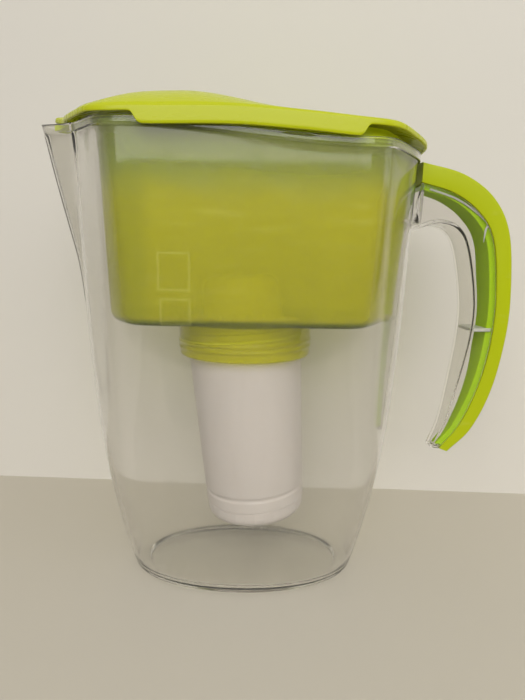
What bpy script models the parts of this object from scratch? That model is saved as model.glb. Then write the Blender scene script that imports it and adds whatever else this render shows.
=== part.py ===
"""Water filter jug: a clear spouted jug with a hollow C-shaped handle, a domed snap-on lid, a tinted
hopper that hangs inside the jug, and a white filter cartridge that stands in the hopper's neck.

Metres, +Z up. The origin is the middle of the foot on the ground. The spout points to -X, the handle to
+X, and the jug is symmetric about the XZ plane.
"""

import math

import bmesh
import bpy
import numpy as np
from mathutils import Matrix, Vector

# ---- Driving dimensions ------------------------------------------------------------------------------

MM = 0.001
GAP = 0.3 * MM  # clearance between solids that touch
FIT = 0.6 * MM  # sliding clearance between the lid, the hopper and the jug
HANG_FIT = 0.42 * MM  # clearance between the hopper's collar and the inside of the rim

# Jug body: half length and half depth of the plan, its squareness, and the prow line at each height. The plan
# is an oval at the foot and a rectangle with cut corners at the rim.
BODY_HEIGHTS = np.array([0, 10, 22, 48, 78, 107, 145, 190, 233, 250]) * MM
BODY_HALF_LENGTH = np.array([64.5, 67.6, 70.6, 76.2, 80.6, 83.2, 85.6, 87.2, 88.7, 89.0]) * MM
BODY_HALF_DEPTH = np.array([37.0, 39.6, 41.6, 45.0, 47.4, 48.6, 49.8, 51.0, 52.0, 52.3]) * MM
SQUARE_HEIGHTS = np.array([0, 60, 150, 215]) * MM
SQUARES = np.array([2.05, 2.35, 4.5, 6.0])
SQUARE_RIM = 6.0
CUT_CORNER_ANGLE = math.radians(34.4)  # between the jug's long axis and the direction a cut corner faces
CUT_CORNER_SHARE = 0.809  # a cut corner's distance from the middle, as a share of the full corner's
CORNER_BLEND = 30  # higher is a sharper edge between a cut corner and the walls beside it
PROW_HEIGHTS = np.array([95, 132, 152, 178, 195, 216, 247]) * MM
PROW_REACH = np.array([79.5, 86.6, 89.2, 92.9, 97.1, 102.2, 109.0]) * MM
PROW_HALF_ANGLE = math.radians(45)
PROW_FADE_FROM = math.radians(16)  # how far off the spout's axis the V starts to give way to the oval
PROW_FADE_OVER = math.radians(20)
PROW_FADE_SHARE = 0.6  # how much of the V's reach is gone at the end of the fade
PROW_TIP = 0.03  # radians over which the tip of the V is rounded
PROW_BLEND = 44  # higher is a sharper crease between the beak and the oval
WALL = 2.2 * MM

# The rim rises to the spout, and a slightly wider band runs below it.
RIM_X = np.array([-109, -100, -87, -70, -45, 53, 70, 95]) * MM
RIM_Z = np.array([247.0, 244.9, 242.2, 239.6, 239.0, 231.9, 232.1, 232.2]) * MM
BAND_HEIGHT = 4.4 * MM
BAND_STEP = 1.0 * MM

# Hopper
HOPPER_FLOOR = 146 * MM
HOPPER_FLOOR_HALF = (77.2 * MM, 44.6 * MM)
HOPPER_TOP_HALF = (83.6 * MM, 47.6 * MM)
HOPPER_SHIFT = 1.8 * MM  # the hopper's middle is this much nearer the handle, which opens the pouring gap
HOPPER_WALL = 1.8 * MM
HOPPER_SPOUT_END = 81.3 * MM  # the hopper's flat end beside the spout is this far from the middle
HOPPER_SQUARE = 5.0
END_BLEND = 30  # higher is a sharper corner between the flat end and the oval
FLOOR_CORNER = 5 * MM
BEAD_HEIGHTS = (131.6 * MM, 132.2 * MM, 134.0 * MM, 134.6 * MM)
BEAD_STANDS = 0.5 * MM
NECK_RADIUS = 36.8 * MM
NECK_BOTTOM = 127 * MM
NECK_LIP_RADIUS = 33.6 * MM

# Lid
LID_OVERHANG = 3.4 * MM
LID_WALL = 1.8 * MM
LID_EDGE_X = np.array([-103, -92, -67, -45, 0, 26, 57, 70, 95]) * MM
LID_EDGE_Z = np.array([248.2, 244.2, 240.0, 239.9, 240.2, 238.6, 236.0, 235.4, 234.2]) * MM
LID_EDGE_BAND = 2.6 * MM
LID_DOME_FRONT = 14.4 * MM
LID_DOME_REAR = 4.6 * MM
LID_DOME_POWER = 3.5
LID_TONGUE_REACH = 101.5 * MM
SKIRT_DEPTH = 8.2 * MM
SKIRT_FROM = -47 * MM
SKIRT_TO = 52 * MM
PLUG_BELOW_RIM = 2.2 * MM
PLUG_WALL = 1.6 * MM

# Handle: three lines in the XZ plane, each running from the wall of the jug to the free lower end.
HANDLE_OUTER = np.array([(90.6, 229.8), (112.8, 224.1), (129.5, 212.5), (139.2, 194.5), (142.9, 165.0),
                         (143.0, 140.0), (139.0, 109.5), (130.4, 85.5), (118.3, 70.9)]) * MM
HANDLE_MIDDLE = np.array([(90.6, 219.2), (107.5, 214.3), (121.5, 205.0), (130.6, 191.0), (134.6, 164.0),
                          (134.9, 140.0), (131.7, 114.0), (123.5, 88.5), (113.2, 72.8)]) * MM
HANDLE_GRIP = np.array([(90.6, 196.0), (101.0, 199.0), (111.0, 196.0), (117.2, 185.5), (122.3, 160.0),
                        (122.4, 140.0), (118.6, 113.0), (113.8, 88.0), (108.2, 73.4)]) * MM
HANDLE_HALF_WIDTH = np.array([12.6, 12.4, 12.2, 12.0, 12.0, 11.2, 9.0, 6.8, 5.2]) * MM
HANDLE_STEPS = 26
HANDLE_WALL = 2.0 * MM
HANDLE_STATION = 8.5 * MM  # mean distance between two stations along the channel
CROSSBAR_AT = 0.61  # where the crossbar stands, as a share of the handle's length
CROSSBAR_WALL = 1.6 * MM
END_WALL = 2.4 * MM

# Cartridge, along its own axis: lengths are measured from the seat, upwards.
SEAT = Vector((-1.2 * MM, 0, 146 * MM))
CARTRIDGE_LEAN = math.radians(-4.5)
COLLAR_TOP = -5.0 * MM
COLLAR_BOTTOM = -13.0 * MM
COLLAR_RADIUS = 33.4 * MM
SEAL_AT = -9.0 * MM
SEAL_THICKNESS = 1.3 * MM
HOUSING_TOP_RADIUS = 31.4 * MM
HOUSING_BOTTOM_RADIUS = 28.3 * MM
HOUSING_BOTTOM = -103.5 * MM
HOUSING_WALL = 1.7 * MM
OUTLET_DEPTH = 9.5 * MM
HEAD_RADIUS = 21.0 * MM
HEAD_TOP = 24.5 * MM
HEAD_WALL = 1.6 * MM
SLOT_COUNT = 18
SLOT_WIDTH = 2.2 * MM
SLOT_HEIGHT = 4.0 * MM
SLOT_ABOVE_FOOT = 4.6 * MM
SCREEN_THICKNESS = 0.8 * MM
CARBON_TOP = -18 * MM
BED_SPLIT = -52 * MM

RING = 56  # points around the jug, and its beak takes a denser share of them
ROUND = 32  # points around the cartridge


# ---- Helpers -----------------------------------------------------------------------------------------

def clear_scene():
    """Start from an empty scene."""
    for item in list(bpy.data.objects):
        bpy.data.objects.remove(item, do_unlink=True)


def new_collection(name):
    collection = bpy.data.collections.new(name)
    bpy.context.scene.collection.children.link(collection)
    return collection


def material(name, colour, roughness, metallic=0.0, alpha=1.0):
    """A Principled material with the part's own colour."""
    made = bpy.data.materials.new(name)
    made.use_nodes = True
    shader = made.node_tree.nodes["Principled BSDF"]
    shader.inputs["Base Color"].default_value = (*colour, 1.0)
    shader.inputs["Roughness"].default_value = roughness
    shader.inputs["Metallic"].default_value = metallic
    shader.inputs["Alpha"].default_value = alpha
    made.diffuse_color = (*colour, 1.0)
    return made


def add_object(name, mesh, collection, surface=None, matrix=None):
    """Put a mesh in the scene as a named object, shaded smooth except at sharp edges."""
    item = bpy.data.objects.new(name, mesh)
    collection.objects.link(item)
    if matrix is not None:
        item.matrix_world = matrix
    if surface is not None:
        mesh.materials.append(surface)
    mesh.shade_smooth()
    mesh.set_sharp_from_angle(angle=math.radians(35))
    return item


def loft(name, rings, cap_first, cap_last):
    """Join rings of equal point counts, each running the same way round, into one skin."""
    shape = bmesh.new()
    rows = [[shape.verts.new(point) for point in ring] for ring in rings]
    count = len(rows[0])
    for low, high in zip(rows, rows[1:]):
        for i in range(count):
            j = (i + 1) % count
            shape.faces.new((low[i], low[j], high[j], high[i]))
    if cap_first:
        shape.faces.new(list(reversed(rows[0])))
    if cap_last:
        shape.faces.new(rows[-1])
    mesh = bpy.data.meshes.new(name)
    shape.to_mesh(mesh)
    shape.free()
    return mesh


def solidify(item, thickness, offset=-1.0):
    """Give an open skin its wall. Offset -1 puts the wall on the inner side of the skin."""
    wall = item.modifiers.new("wall", "SOLIDIFY")
    wall.thickness = thickness
    wall.offset = offset
    wall.use_even_offset = True
    return wall


def boolean(item, cutter, operation):
    """Cut a solid with a cutter, or join one to it."""
    step = item.modifiers.new(cutter.name, "BOOLEAN")
    step.operation = operation
    step.solver = "EXACT"
    step.object = cutter
    cutter.hide_render = True
    cutter.display_type = "WIRE"


def cutter_box(name, low, high, collection, matrix=None):
    """A box between two corners, for cutting with."""
    shape = bmesh.new()
    bmesh.ops.create_cube(shape, size=1.0)
    size = [b - a for a, b in zip(low, high)]
    middle = Vector([(a + b) / 2 for a, b in zip(low, high)])
    bmesh.ops.scale(shape, vec=size, verts=shape.verts)
    bmesh.ops.translate(shape, vec=middle, verts=shape.verts)
    mesh = bpy.data.meshes.new(name)
    shape.to_mesh(mesh)
    shape.free()
    return add_object(name, mesh, collection, matrix=matrix)


def turned(name, profile, collection, surface):
    """Turn a closed profile about the cartridge's axis. Its points run down the outer side first, top to
    bottom, and an edge that lies on the axis is left out."""
    mesh = bpy.data.meshes.new(name)
    count = len(profile)
    edges = [(i, (i + 1) % count) for i in range(count)]
    edges = [(i, j) for i, j in edges if profile[i][0] > 0 or profile[j][0] > 0]
    mesh.from_pydata([(radius, 0, height) for radius, height in profile], edges, [])
    item = add_object(name, mesh, collection, surface, cartridge_matrix())
    screw = item.modifiers.new("turn", "SCREW")
    screw.steps = ROUND
    screw.render_steps = ROUND
    screw.use_merge_vertices = True
    screw.merge_threshold = 0.00001
    screw.use_smooth_shade = True
    return item


def arc(centre, radius, start, end, count):
    """Points on a circle's arc, in degrees, as (across, up) pairs."""
    angles = np.radians(np.linspace(start, end, count))
    return [(centre[0] + radius * math.cos(a), centre[1] + radius * math.sin(a)) for a in angles]


def smooth_curve(points, count):
    """A Catmull-Rom curve through the points, with as many stations as asked for."""
    padded = np.vstack([2 * points[0] - points[1], points, 2 * points[-1] - points[-2]])
    stations = []
    for where in np.linspace(0, len(points) - 1, count):
        i = min(int(where), len(points) - 2)
        t = where - i
        a, b, c, d = padded[i:i + 4]
        stations.append(0.5 * (2 * b + (c - a) * t + (2 * a - 5 * b + 4 * c - d) * t**2
                               + (3 * b - a - 3 * c + d) * t**3))
    return np.array(stations)


# ---- Shared outlines ---------------------------------------------------------------------------------

def ring_angles():
    """Directions around the jug, counterclockwise from the handle, closer together at the beak."""
    beak = math.radians(30)
    dense = RING // 4
    sparse = RING - dense
    first = np.linspace(0, math.pi - beak, sparse // 2, endpoint=False)
    middle = np.linspace(math.pi - beak, math.pi + beak, dense, endpoint=False)
    last = np.linspace(math.pi + beak, 2 * math.pi, sparse - sparse // 2, endpoint=False)
    return np.concatenate([first, middle, last])


ANGLES = ring_angles()


def oval(half_length, half_depth, squareness):
    """Distance from the middle to a squared oval in each of the ring's directions."""
    along = np.abs(np.cos(ANGLES) / half_length) ** squareness
    across = np.abs(np.sin(ANGLES) / half_depth) ** squareness
    return (along + across) ** (-1 / squareness)


def plan(half_length, half_depth, squareness):
    """A squared oval with its four corners cut by flat faces, as distances in the ring's directions."""
    wall = oval(half_length, half_depth, squareness)
    full = half_length * math.cos(CUT_CORNER_ANGLE) + half_depth * math.sin(CUT_CORNER_ANGLE)
    quarter = np.arccos(np.abs(np.cos(ANGLES)))
    corner = full * CUT_CORNER_SHARE / np.cos(quarter - CUT_CORNER_ANGLE)
    return (wall**-CORNER_BLEND + corner**-CORNER_BLEND) ** (-1 / CORNER_BLEND)


def beak(reach):
    """Distance from the middle to a V-shaped beak that points to -X and fades out behind its creases."""
    off_axis = np.sqrt((ANGLES - math.pi) ** 2 + PROW_TIP**2) - PROW_TIP
    fade = np.clip((off_axis - PROW_FADE_FROM) / PROW_FADE_OVER, 0, 1)
    spread = PROW_HALF_ANGLE + np.minimum(off_axis, PROW_HALF_ANGLE)
    return reach * math.sin(PROW_HALF_ANGLE) / np.sin(spread) * (1 - PROW_FADE_SHARE * fade)


def blended_max(first, second):
    """The larger of two distances, eased where they cross."""
    return (first**PROW_BLEND + second**PROW_BLEND) ** (1 / PROW_BLEND)


def body_distance(height, offset=0.0):
    """Distance from the middle to the jug's outer face, made wider by the offset."""
    half_length = np.interp(height, BODY_HEIGHTS, BODY_HALF_LENGTH) + offset
    half_depth = np.interp(height, BODY_HEIGHTS, BODY_HALF_DEPTH) + offset
    distance = plan(half_length, half_depth, np.interp(height, SQUARE_HEIGHTS, SQUARES))
    if height > PROW_HEIGHTS[0]:
        reach = np.interp(height, PROW_HEIGHTS, PROW_REACH) + offset
        distance = blended_max(distance, beak(reach))
    return distance


def plan_points(distance):
    """Distances in the ring's directions as X and Y."""
    return distance * np.cos(ANGLES), distance * np.sin(ANGLES)


def rim_height(x):
    """Height of the jug's rim."""
    return np.interp(x, RIM_X, RIM_Z)


def ring_points(distance, height, shift=0.0):
    """A ring of 3-D points at the given distances. The height is one number or one for each point."""
    x, y = plan_points(distance)
    z = np.broadcast_to(height, x.shape)
    return list(zip(x + shift, y, z))


# ---- Jug ---------------------------------------------------------------------------------------------

def jug_body(parts, surface):
    """The clear shell: flat foot, bulging oval wall, beak, and a wider rim band."""
    foot = body_distance(0.0)
    rings = [ring_points(foot * share, 0.0) for share in (0.40, 0.965)]
    rings.append(ring_points(body_distance(1.2 * MM), 1.2 * MM))
    for height in (5, 12, 24, 40, 60, 84, 110, 136, 156, 176, 196, 214):
        rings.append(ring_points(body_distance(height * MM), height * MM))
    under = body_distance(228 * MM)
    under_rim = rim_height(plan_points(under)[0]) - BAND_HEIGHT
    rings.append(ring_points(under, under_rim - 1.0 * MM))
    band = body_distance(236 * MM, BAND_STEP)
    band_rim = rim_height(plan_points(band)[0])
    rings.append(ring_points(band, band_rim - BAND_HEIGHT + 0.6 * MM))
    top = body_distance(242 * MM, BAND_STEP)
    rings.append(ring_points(top, rim_height(plan_points(top)[0])))
    mesh = loft("jug_body", rings, True, False)
    item = add_object("jug_body", mesh, parts, surface)
    solidify(item, WALL)
    return item


def handle_stations():
    """The handle's outer, middle and grip lines and its half width, station by station."""
    outer = smooth_curve(HANDLE_OUTER, HANDLE_STEPS)
    middle = smooth_curve(HANDLE_MIDDLE, HANDLE_STEPS)
    grip = smooth_curve(HANDLE_GRIP, HANDLE_STEPS)
    where = np.linspace(0, 1, HANDLE_STEPS)
    width = np.interp(where, np.linspace(0, 1, len(HANDLE_HALF_WIDTH)), HANDLE_HALF_WIDTH)
    return outer, middle, grip, width


def across(first, second, share, side):
    """A point between two points of the XZ plane, moved sideways."""
    point = first + (second - first) * share
    return (point[0], side, point[1])


def handle_frame(parts, cutters, surface):
    """The clear channel of the handle: a U along a C-shaped path, open outwards, with end walls."""
    _, middle, grip, width = handle_stations()
    rings = []
    for m, g, w in zip(middle, grip, width):
        depth = np.linalg.norm(m - g)
        inner = HANDLE_WALL / depth
        edge = 1 - GAP / depth
        outline = [(0, -w), (0, w), (edge, w), (edge, w - HANDLE_WALL), (inner, w - HANDLE_WALL),
                   (inner, HANDLE_WALL - w), (edge, HANDLE_WALL - w), (edge, -w)]
        rings.append([across(g, m, share, side) for share, side in outline])
    item = add_object("handle_frame", loft("handle_frame", rings, True, True), parts, surface)
    walls = (("upper_wall", 0.0, END_WALL), ("crossbar", CROSSBAR_AT, CROSSBAR_WALL),
             ("lower_wall", 1.0, HANDLE_WALL))
    for name, share, thickness in walls:
        boolean(item, handle_wall(name, share, thickness, cutters), "UNION")
    return item


def handle_wall(name, share, thickness, cutters):
    """A wall across the channel, a little narrower than the channel is outside."""
    _, middle, grip, width = handle_stations()
    last = HANDLE_STEPS - 1
    index = np.arange(HANDLE_STEPS)
    along = thickness / HANDLE_STATION
    clear_of_end = 0.02
    first = min(max(share * last - along / 2, clear_of_end), last - clear_of_end - along)
    rings = []
    for where in (first, first + along):
        m = np.array([np.interp(where, index, middle[:, 0]), np.interp(where, index, middle[:, 1])])
        g = np.array([np.interp(where, index, grip[:, 0]), np.interp(where, index, grip[:, 1])])
        side = np.interp(where, index, width) - HANDLE_WALL / 2
        depth = np.linalg.norm(m - g)
        low = HANDLE_WALL / 2 / depth
        high = 1 - 2 * GAP / depth
        rings.append([across(g, m, s, y) for s, y in ((low, -side), (low, side), (high, side), (high, -side))])
    return add_object(name, loft(name, rings, True, True), cutters)


def handle_cover(parts, surface):
    """The coloured strip that closes the channel, with a crowned outer face."""
    outer, middle, _, width = handle_stations()
    rings = []
    for o, m, w in zip(outer, middle, width):
        outline = [(0, -w), (0, w), (0.82, w), (0.93, w * 0.93), (1.0, w * 0.5), (1.0, -w * 0.5),
                   (0.93, -w * 0.93), (0.82, -w)]
        rings.append([across(m, o, share, side) for share, side in outline])
    return add_object("handle_cover", loft("handle_cover", rings, True, True), parts, surface)


# ---- Hopper ------------------------------------------------------------------------------------------

def hopper_distance(height, offset=0.0):
    """Distance from the hopper's own middle to its outer wall below the flange."""
    share = (height - HOPPER_FLOOR) / (rim_height(0.0) - HOPPER_FLOOR)
    half_length = HOPPER_FLOOR_HALF[0] + (HOPPER_TOP_HALF[0] - HOPPER_FLOOR_HALF[0]) * share
    half_depth = HOPPER_FLOOR_HALF[1] + (HOPPER_TOP_HALF[1] - HOPPER_FLOOR_HALF[1]) * share
    return plan(half_length + offset, half_depth + offset, HOPPER_SQUARE)


def collar_distance(inset):
    """Distance from the middle to a wall that follows the rim inside the jug, cut off at the spout end."""
    distance = plan(BODY_HALF_LENGTH[-2] - inset, BODY_HALF_DEPTH[-2] - inset, SQUARE_RIM)
    off_axis = np.abs(ANGLES - math.pi)
    facing = off_axis < math.radians(60)
    end = HOPPER_SPOUT_END - inset + WALL - BAND_STEP
    limit = np.where(facing, end / np.cos(np.where(facing, off_axis, 0)), 1.0)
    return (distance**-END_BLEND + limit**-END_BLEND) ** (-1 / END_BLEND)


def hopper(parts, surface):
    """The tinted hopper: a threaded neck, a flat floor, an oval wall, and a collar that hangs on the rim."""
    rings = []
    circle = np.ones(RING)
    below, foot, crest, above = BEAD_HEIGHTS
    neck = ((NECK_LIP_RADIUS, NECK_BOTTOM), (NECK_RADIUS - 0.5 * MM, NECK_BOTTOM),
            (NECK_RADIUS - 0.3 * MM, below), (NECK_RADIUS + BEAD_STANDS, foot),
            (NECK_RADIUS + BEAD_STANDS, crest), (NECK_RADIUS - 0.2 * MM, above),
            (NECK_RADIUS, HOPPER_FLOOR - 1.2 * MM), (NECK_RADIUS + 1.0 * MM, HOPPER_FLOOR - 0.1 * MM))
    for radius, height in neck:
        rings.append(ring_points(circle * radius, height))
    floor = hopper_distance(HOPPER_FLOOR)
    for share in (0.5, 1.0):
        edge = NECK_RADIUS + (floor - FLOOR_CORNER - NECK_RADIUS) * share
        rings.append(ring_points(edge, HOPPER_FLOOR, HOPPER_SHIFT * share))
    for turn in (40, 80):
        inset = FLOOR_CORNER * (1 - math.sin(math.radians(turn)))
        lift = FLOOR_CORNER * (1 - math.cos(math.radians(turn)))
        rings.append(ring_points(floor - inset, HOPPER_FLOOR + lift, HOPPER_SHIFT))
    for height in (165, 190, 212):
        rings.append(ring_points(hopper_distance(height * MM), height * MM, HOPPER_SHIFT))
    collar = collar_distance(WALL - BAND_STEP + HANG_FIT)
    edge = rim_height(plan_points(collar)[0])
    neck_in = np.minimum(hopper_distance(222 * MM), collar - 0.2 * MM)
    rings.append(ring_points(neck_in, edge - BAND_HEIGHT - 3.0 * MM, HOPPER_SHIFT * 0.5))
    rings.append(ring_points(collar, edge - BAND_HEIGHT + 1.6 * MM))
    rings.append(ring_points(collar, edge - 0.8 * MM))
    item = add_object("hopper", loft("hopper", rings, False, False), parts, surface)
    solidify(item, HOPPER_WALL)
    return item


# ---- Lid ---------------------------------------------------------------------------------------------

def lid_distance():
    """Distance from the middle to the lid's outer edge, with the tongue that reaches over the spout."""
    shell = plan(BODY_HALF_LENGTH[-2] + LID_OVERHANG, BODY_HALF_DEPTH[-2] + LID_OVERHANG, SQUARE_RIM)
    return blended_max(shell, beak(LID_TONGUE_REACH))


def lid_edge_height(x):
    return np.interp(x, LID_EDGE_X, LID_EDGE_Z)


def dome_height(x):
    """How far the lid's crown stands above its edge: high towards the spout, low towards the handle."""
    share = np.clip((x + 30 * MM) / (60 * MM), 0, 1)
    eased = share * share * (3 - 2 * share)
    return LID_DOME_FRONT + (LID_DOME_REAR - LID_DOME_FRONT) * eased


def lid_shell(parts, cutters, surface):
    """The domed lid. Its skirt hangs outside the rim along both long sides and is cut away at the ends."""
    edge = lid_distance()
    rings = []
    shares = (0.12, 0.4, 0.62, 0.78, 0.9, 0.97, 1.0)
    for share in shares:
        x, _ = plan_points(edge * share)
        height = lid_edge_height(x) + LID_EDGE_BAND + dome_height(x) * (1 - share**LID_DOME_POWER)
        rings.append(ring_points(edge * share, height))
    x, _ = plan_points(edge)
    rings.append(ring_points(edge, lid_edge_height(x) - (SKIRT_DEPTH - LID_EDGE_BAND)))
    rings = [list(reversed(ring)) for ring in rings]
    item = add_object("lid_shell", loft("lid_shell", rings, True, False), parts, surface)
    solidify(item, LID_WALL)
    low = 215 * MM
    boolean(item, skirt_cutter("skirt_cut_spout", -130 * MM, SKIRT_FROM, low, cutters), "DIFFERENCE")
    boolean(item, skirt_cutter("skirt_cut_handle", SKIRT_TO, 130 * MM, low, cutters), "DIFFERENCE")
    return item


def skirt_cutter(name, start, end, low, cutters):
    """A block below the lid's edge between two stations, whose top follows the edge."""
    inside = [x for x in LID_EDGE_X if start < x < end]
    stations = [start, *inside, end]
    rings = []
    for x in stations:
        high = lid_edge_height(x)
        rings.append([(x, -80 * MM, low), (x, 80 * MM, low), (x, 80 * MM, high), (x, -80 * MM, high)])
    return add_object(name, loft(name, rings, True, True), cutters)


def lid_plug(parts, surface):
    """The wall under the lid that drops inside the hopper's collar."""
    outside = collar_distance(WALL - BAND_STEP + HANG_FIT + HOPPER_WALL + FIT)
    x, _ = plan_points(outside)
    top = lid_edge_height(x) + LID_EDGE_BAND - LID_WALL - GAP
    bottom = rim_height(x) - PLUG_BELOW_RIM
    rings = [ring_points(outside - 0.2 * MM, bottom), ring_points(outside, top)]
    item = add_object("lid_plug", loft("lid_plug", rings, False, False), parts, surface)
    solidify(item, PLUG_WALL)
    return item


# ---- Cartridge ---------------------------------------------------------------------------------------

def cartridge_matrix():
    """The cartridge's own frame: it stands in the seat with a slight lean towards the spout."""
    return Matrix.Translation(SEAT) @ Matrix.Rotation(CARTRIDGE_LEAN, 4, "Y")


def housing(parts, surface):
    """The tapered white cup that holds the filter charge, with the collar at its top."""
    top = COLLAR_TOP
    inner_top = HOUSING_TOP_RADIUS - HOUSING_WALL
    inner_bottom = HOUSING_BOTTOM_RADIUS - HOUSING_WALL
    groove = 0.9 * MM
    profile = [(COLLAR_RADIUS, top), (COLLAR_RADIUS, SEAL_AT + SEAL_THICKNESS),
               (COLLAR_RADIUS - groove, SEAL_AT + SEAL_THICKNESS),
               (COLLAR_RADIUS - groove, SEAL_AT - SEAL_THICKNESS),
               (COLLAR_RADIUS, SEAL_AT - SEAL_THICKNESS), (COLLAR_RADIUS, COLLAR_BOTTOM),
               (HOUSING_TOP_RADIUS, COLLAR_BOTTOM - 1.5 * MM), (HOUSING_BOTTOM_RADIUS, HOUSING_BOTTOM),
               (inner_bottom, HOUSING_BOTTOM), (inner_top, COLLAR_BOTTOM - 1.0 * MM), (inner_top, top)]
    return turned("cartridge_housing", profile, parts, surface)


def seal(parts, surface):
    """The rubber ring in the collar's groove."""
    half = SEAL_THICKNESS - GAP
    inner = COLLAR_RADIUS - 0.9 * MM + GAP
    profile = [(inner, SEAL_AT + half), *arc((COLLAR_RADIUS - 0.1 * MM, SEAL_AT), half, 90, -90, 5),
               (inner, SEAL_AT - half)]
    return turned("cartridge_seal", profile, parts, surface)


def head(parts, cutters, surface):
    """The inlet head: a shouldered cap with a row of slots around its foot."""
    foot = COLLAR_TOP + GAP
    rounding = 4.0 * MM
    shoulder = HOUSING_TOP_RADIUS
    profile = [(0, HEAD_TOP)]
    profile += arc((HEAD_RADIUS - rounding, HEAD_TOP - rounding), rounding, 90, 0, 5)
    profile += [(HEAD_RADIUS + 0.8 * MM, foot + 4.0 * MM), (shoulder, foot + 1.6 * MM), (shoulder, foot),
                (HEAD_RADIUS - HEAD_WALL, foot), (HEAD_RADIUS - HEAD_WALL, HEAD_TOP - rounding),
                (HEAD_RADIUS - rounding, HEAD_TOP - HEAD_WALL), (0, HEAD_TOP - HEAD_WALL)]
    item = turned("cartridge_head", profile, parts, surface)
    for number in range(SLOT_COUNT // 2):
        turn = Matrix.Rotation(math.pi * number / (SLOT_COUNT // 2) + math.radians(7), 4, "Z")
        reach = HEAD_RADIUS + 5 * MM
        low = foot + SLOT_ABOVE_FOOT
        box = cutter_box(f"slot_{number}", (-reach, -SLOT_WIDTH / 2, low),
                         (reach, SLOT_WIDTH / 2, low + SLOT_HEIGHT), cutters, cartridge_matrix() @ turn)
        boolean(item, box, "DIFFERENCE")
    return item


def screen(name, height, radius, parts, surface):
    """A round mesh screen, as a thin disc."""
    half = SCREEN_THICKNESS / 2
    profile = [(0, height + half), (radius, height + half), (radius, height - half), (0, height - half)]
    return turned(name, profile, parts, surface)


def filter_bed(name, top, bottom, parts, surface):
    """A charge of granules that fills the housing between two heights."""
    def inside(height):
        share = (COLLAR_BOTTOM - height) / (COLLAR_BOTTOM - HOUSING_BOTTOM)
        radius = HOUSING_TOP_RADIUS + (HOUSING_BOTTOM_RADIUS - HOUSING_TOP_RADIUS) * share
        return radius - HOUSING_WALL - 2 * GAP
    profile = [(0, top), (inside(top), top), (inside(bottom), bottom), (0, bottom)]
    return turned(name, profile, parts, surface)


def outlet_cap(parts, cutters, surface):
    """The snapped-on bottom of the cartridge, with outlet slots in its floor."""
    top = HOUSING_BOTTOM - GAP
    bottom = HOUSING_BOTTOM - OUTLET_DEPTH
    radius = HOUSING_BOTTOM_RADIUS - 0.5 * MM
    rounding = 5.0 * MM
    profile = [(radius - 0.6 * MM, top), (radius, top - 0.8 * MM)]
    profile += arc((radius - rounding, bottom + rounding), rounding, 0, -90, 6)
    profile += [(0, bottom), (0, bottom + HEAD_WALL), (radius - rounding, bottom + HEAD_WALL),
                (radius - HEAD_WALL - 0.6 * MM, bottom + rounding), (radius - HEAD_WALL - 0.6 * MM, top)]
    item = turned("cartridge_outlet", profile, parts, surface)
    for number in range(-2, 3):
        y = number * 6.0 * MM
        reach = 15 * MM - abs(number) * 2 * MM
        box = cutter_box(f"outlet_slot_{number + 2}", (-reach, y - 0.9 * MM, bottom - 2 * MM),
                         (reach, y + 0.9 * MM, bottom + 3 * MM), cutters, cartridge_matrix())
        boolean(item, box, "DIFFERENCE")
    return item


# ---- Assembly ----------------------------------------------------------------------------------------

def build():
    """Make every piece of the jug."""
    clear_scene()
    parts = new_collection("water_filter_jug")
    cutters = new_collection("cutters")
    clear = material("clear_plastic", (0.82, 0.83, 0.80), 0.08, alpha=0.3)
    lime = material("lime_plastic", (0.50, 0.55, 0.01), 0.28)
    tinted = material("tinted_plastic", (0.42, 0.43, 0.05), 0.12, alpha=0.6)
    white = material("white_plastic", (0.80, 0.78, 0.74), 0.42)
    rubber = material("seal_rubber", (0.70, 0.70, 0.68), 0.6)
    mesh_surface = material("screen_mesh", (0.86, 0.86, 0.84), 0.7)
    carbon = material("filter_carbon", (0.03, 0.03, 0.03), 0.9)
    resin = material("filter_resin", (0.62, 0.42, 0.18), 0.6)

    jug_body(parts, clear)
    handle_frame(parts, cutters, clear)
    handle_cover(parts, lime)
    hopper(parts, tinted)
    lid_shell(parts, cutters, lime)
    lid_plug(parts, lime)
    housing(parts, white)
    seal(parts, rubber)
    head(parts, cutters, white)
    outlet_cap(parts, cutters, white)
    inner = HOUSING_TOP_RADIUS - HOUSING_WALL - GAP
    screen("inlet_screen", COLLAR_TOP - 2.0 * MM, inner, parts, mesh_surface)
    screen("outlet_screen", HOUSING_BOTTOM + 3.0 * MM, HOUSING_BOTTOM_RADIUS - HOUSING_WALL - GAP * 2, parts,
           mesh_surface)
    filter_bed("carbon_bed", CARBON_TOP, BED_SPLIT, parts, carbon)
    filter_bed("resin_bed", BED_SPLIT - GAP, HOUSING_BOTTOM + 5 * MM, parts, resin)


build()
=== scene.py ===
# %% [markdown]
# A water filter jug, drawn around its CAD frame. The jug is clear plastic, its hopper is tinted clear
# plastic, and the lid and the handle's cover are glossy lime green. Nearly everything that is seen is seen
# through something else, so each piece is a closed solid with a real wall: light then bends at both faces,
# as it does in the real jug, and the edges light up by themselves.
#
# The frame comes first. Its nodes keep their places and ride on their bodies. Pieces that show are drawn
# again as finer surfaces from the same outlines, in metres, and stand for the node they replace.

# %% Load the frame
import math

import bpy
import numpy as np
from mathutils import Matrix, Vector


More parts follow.
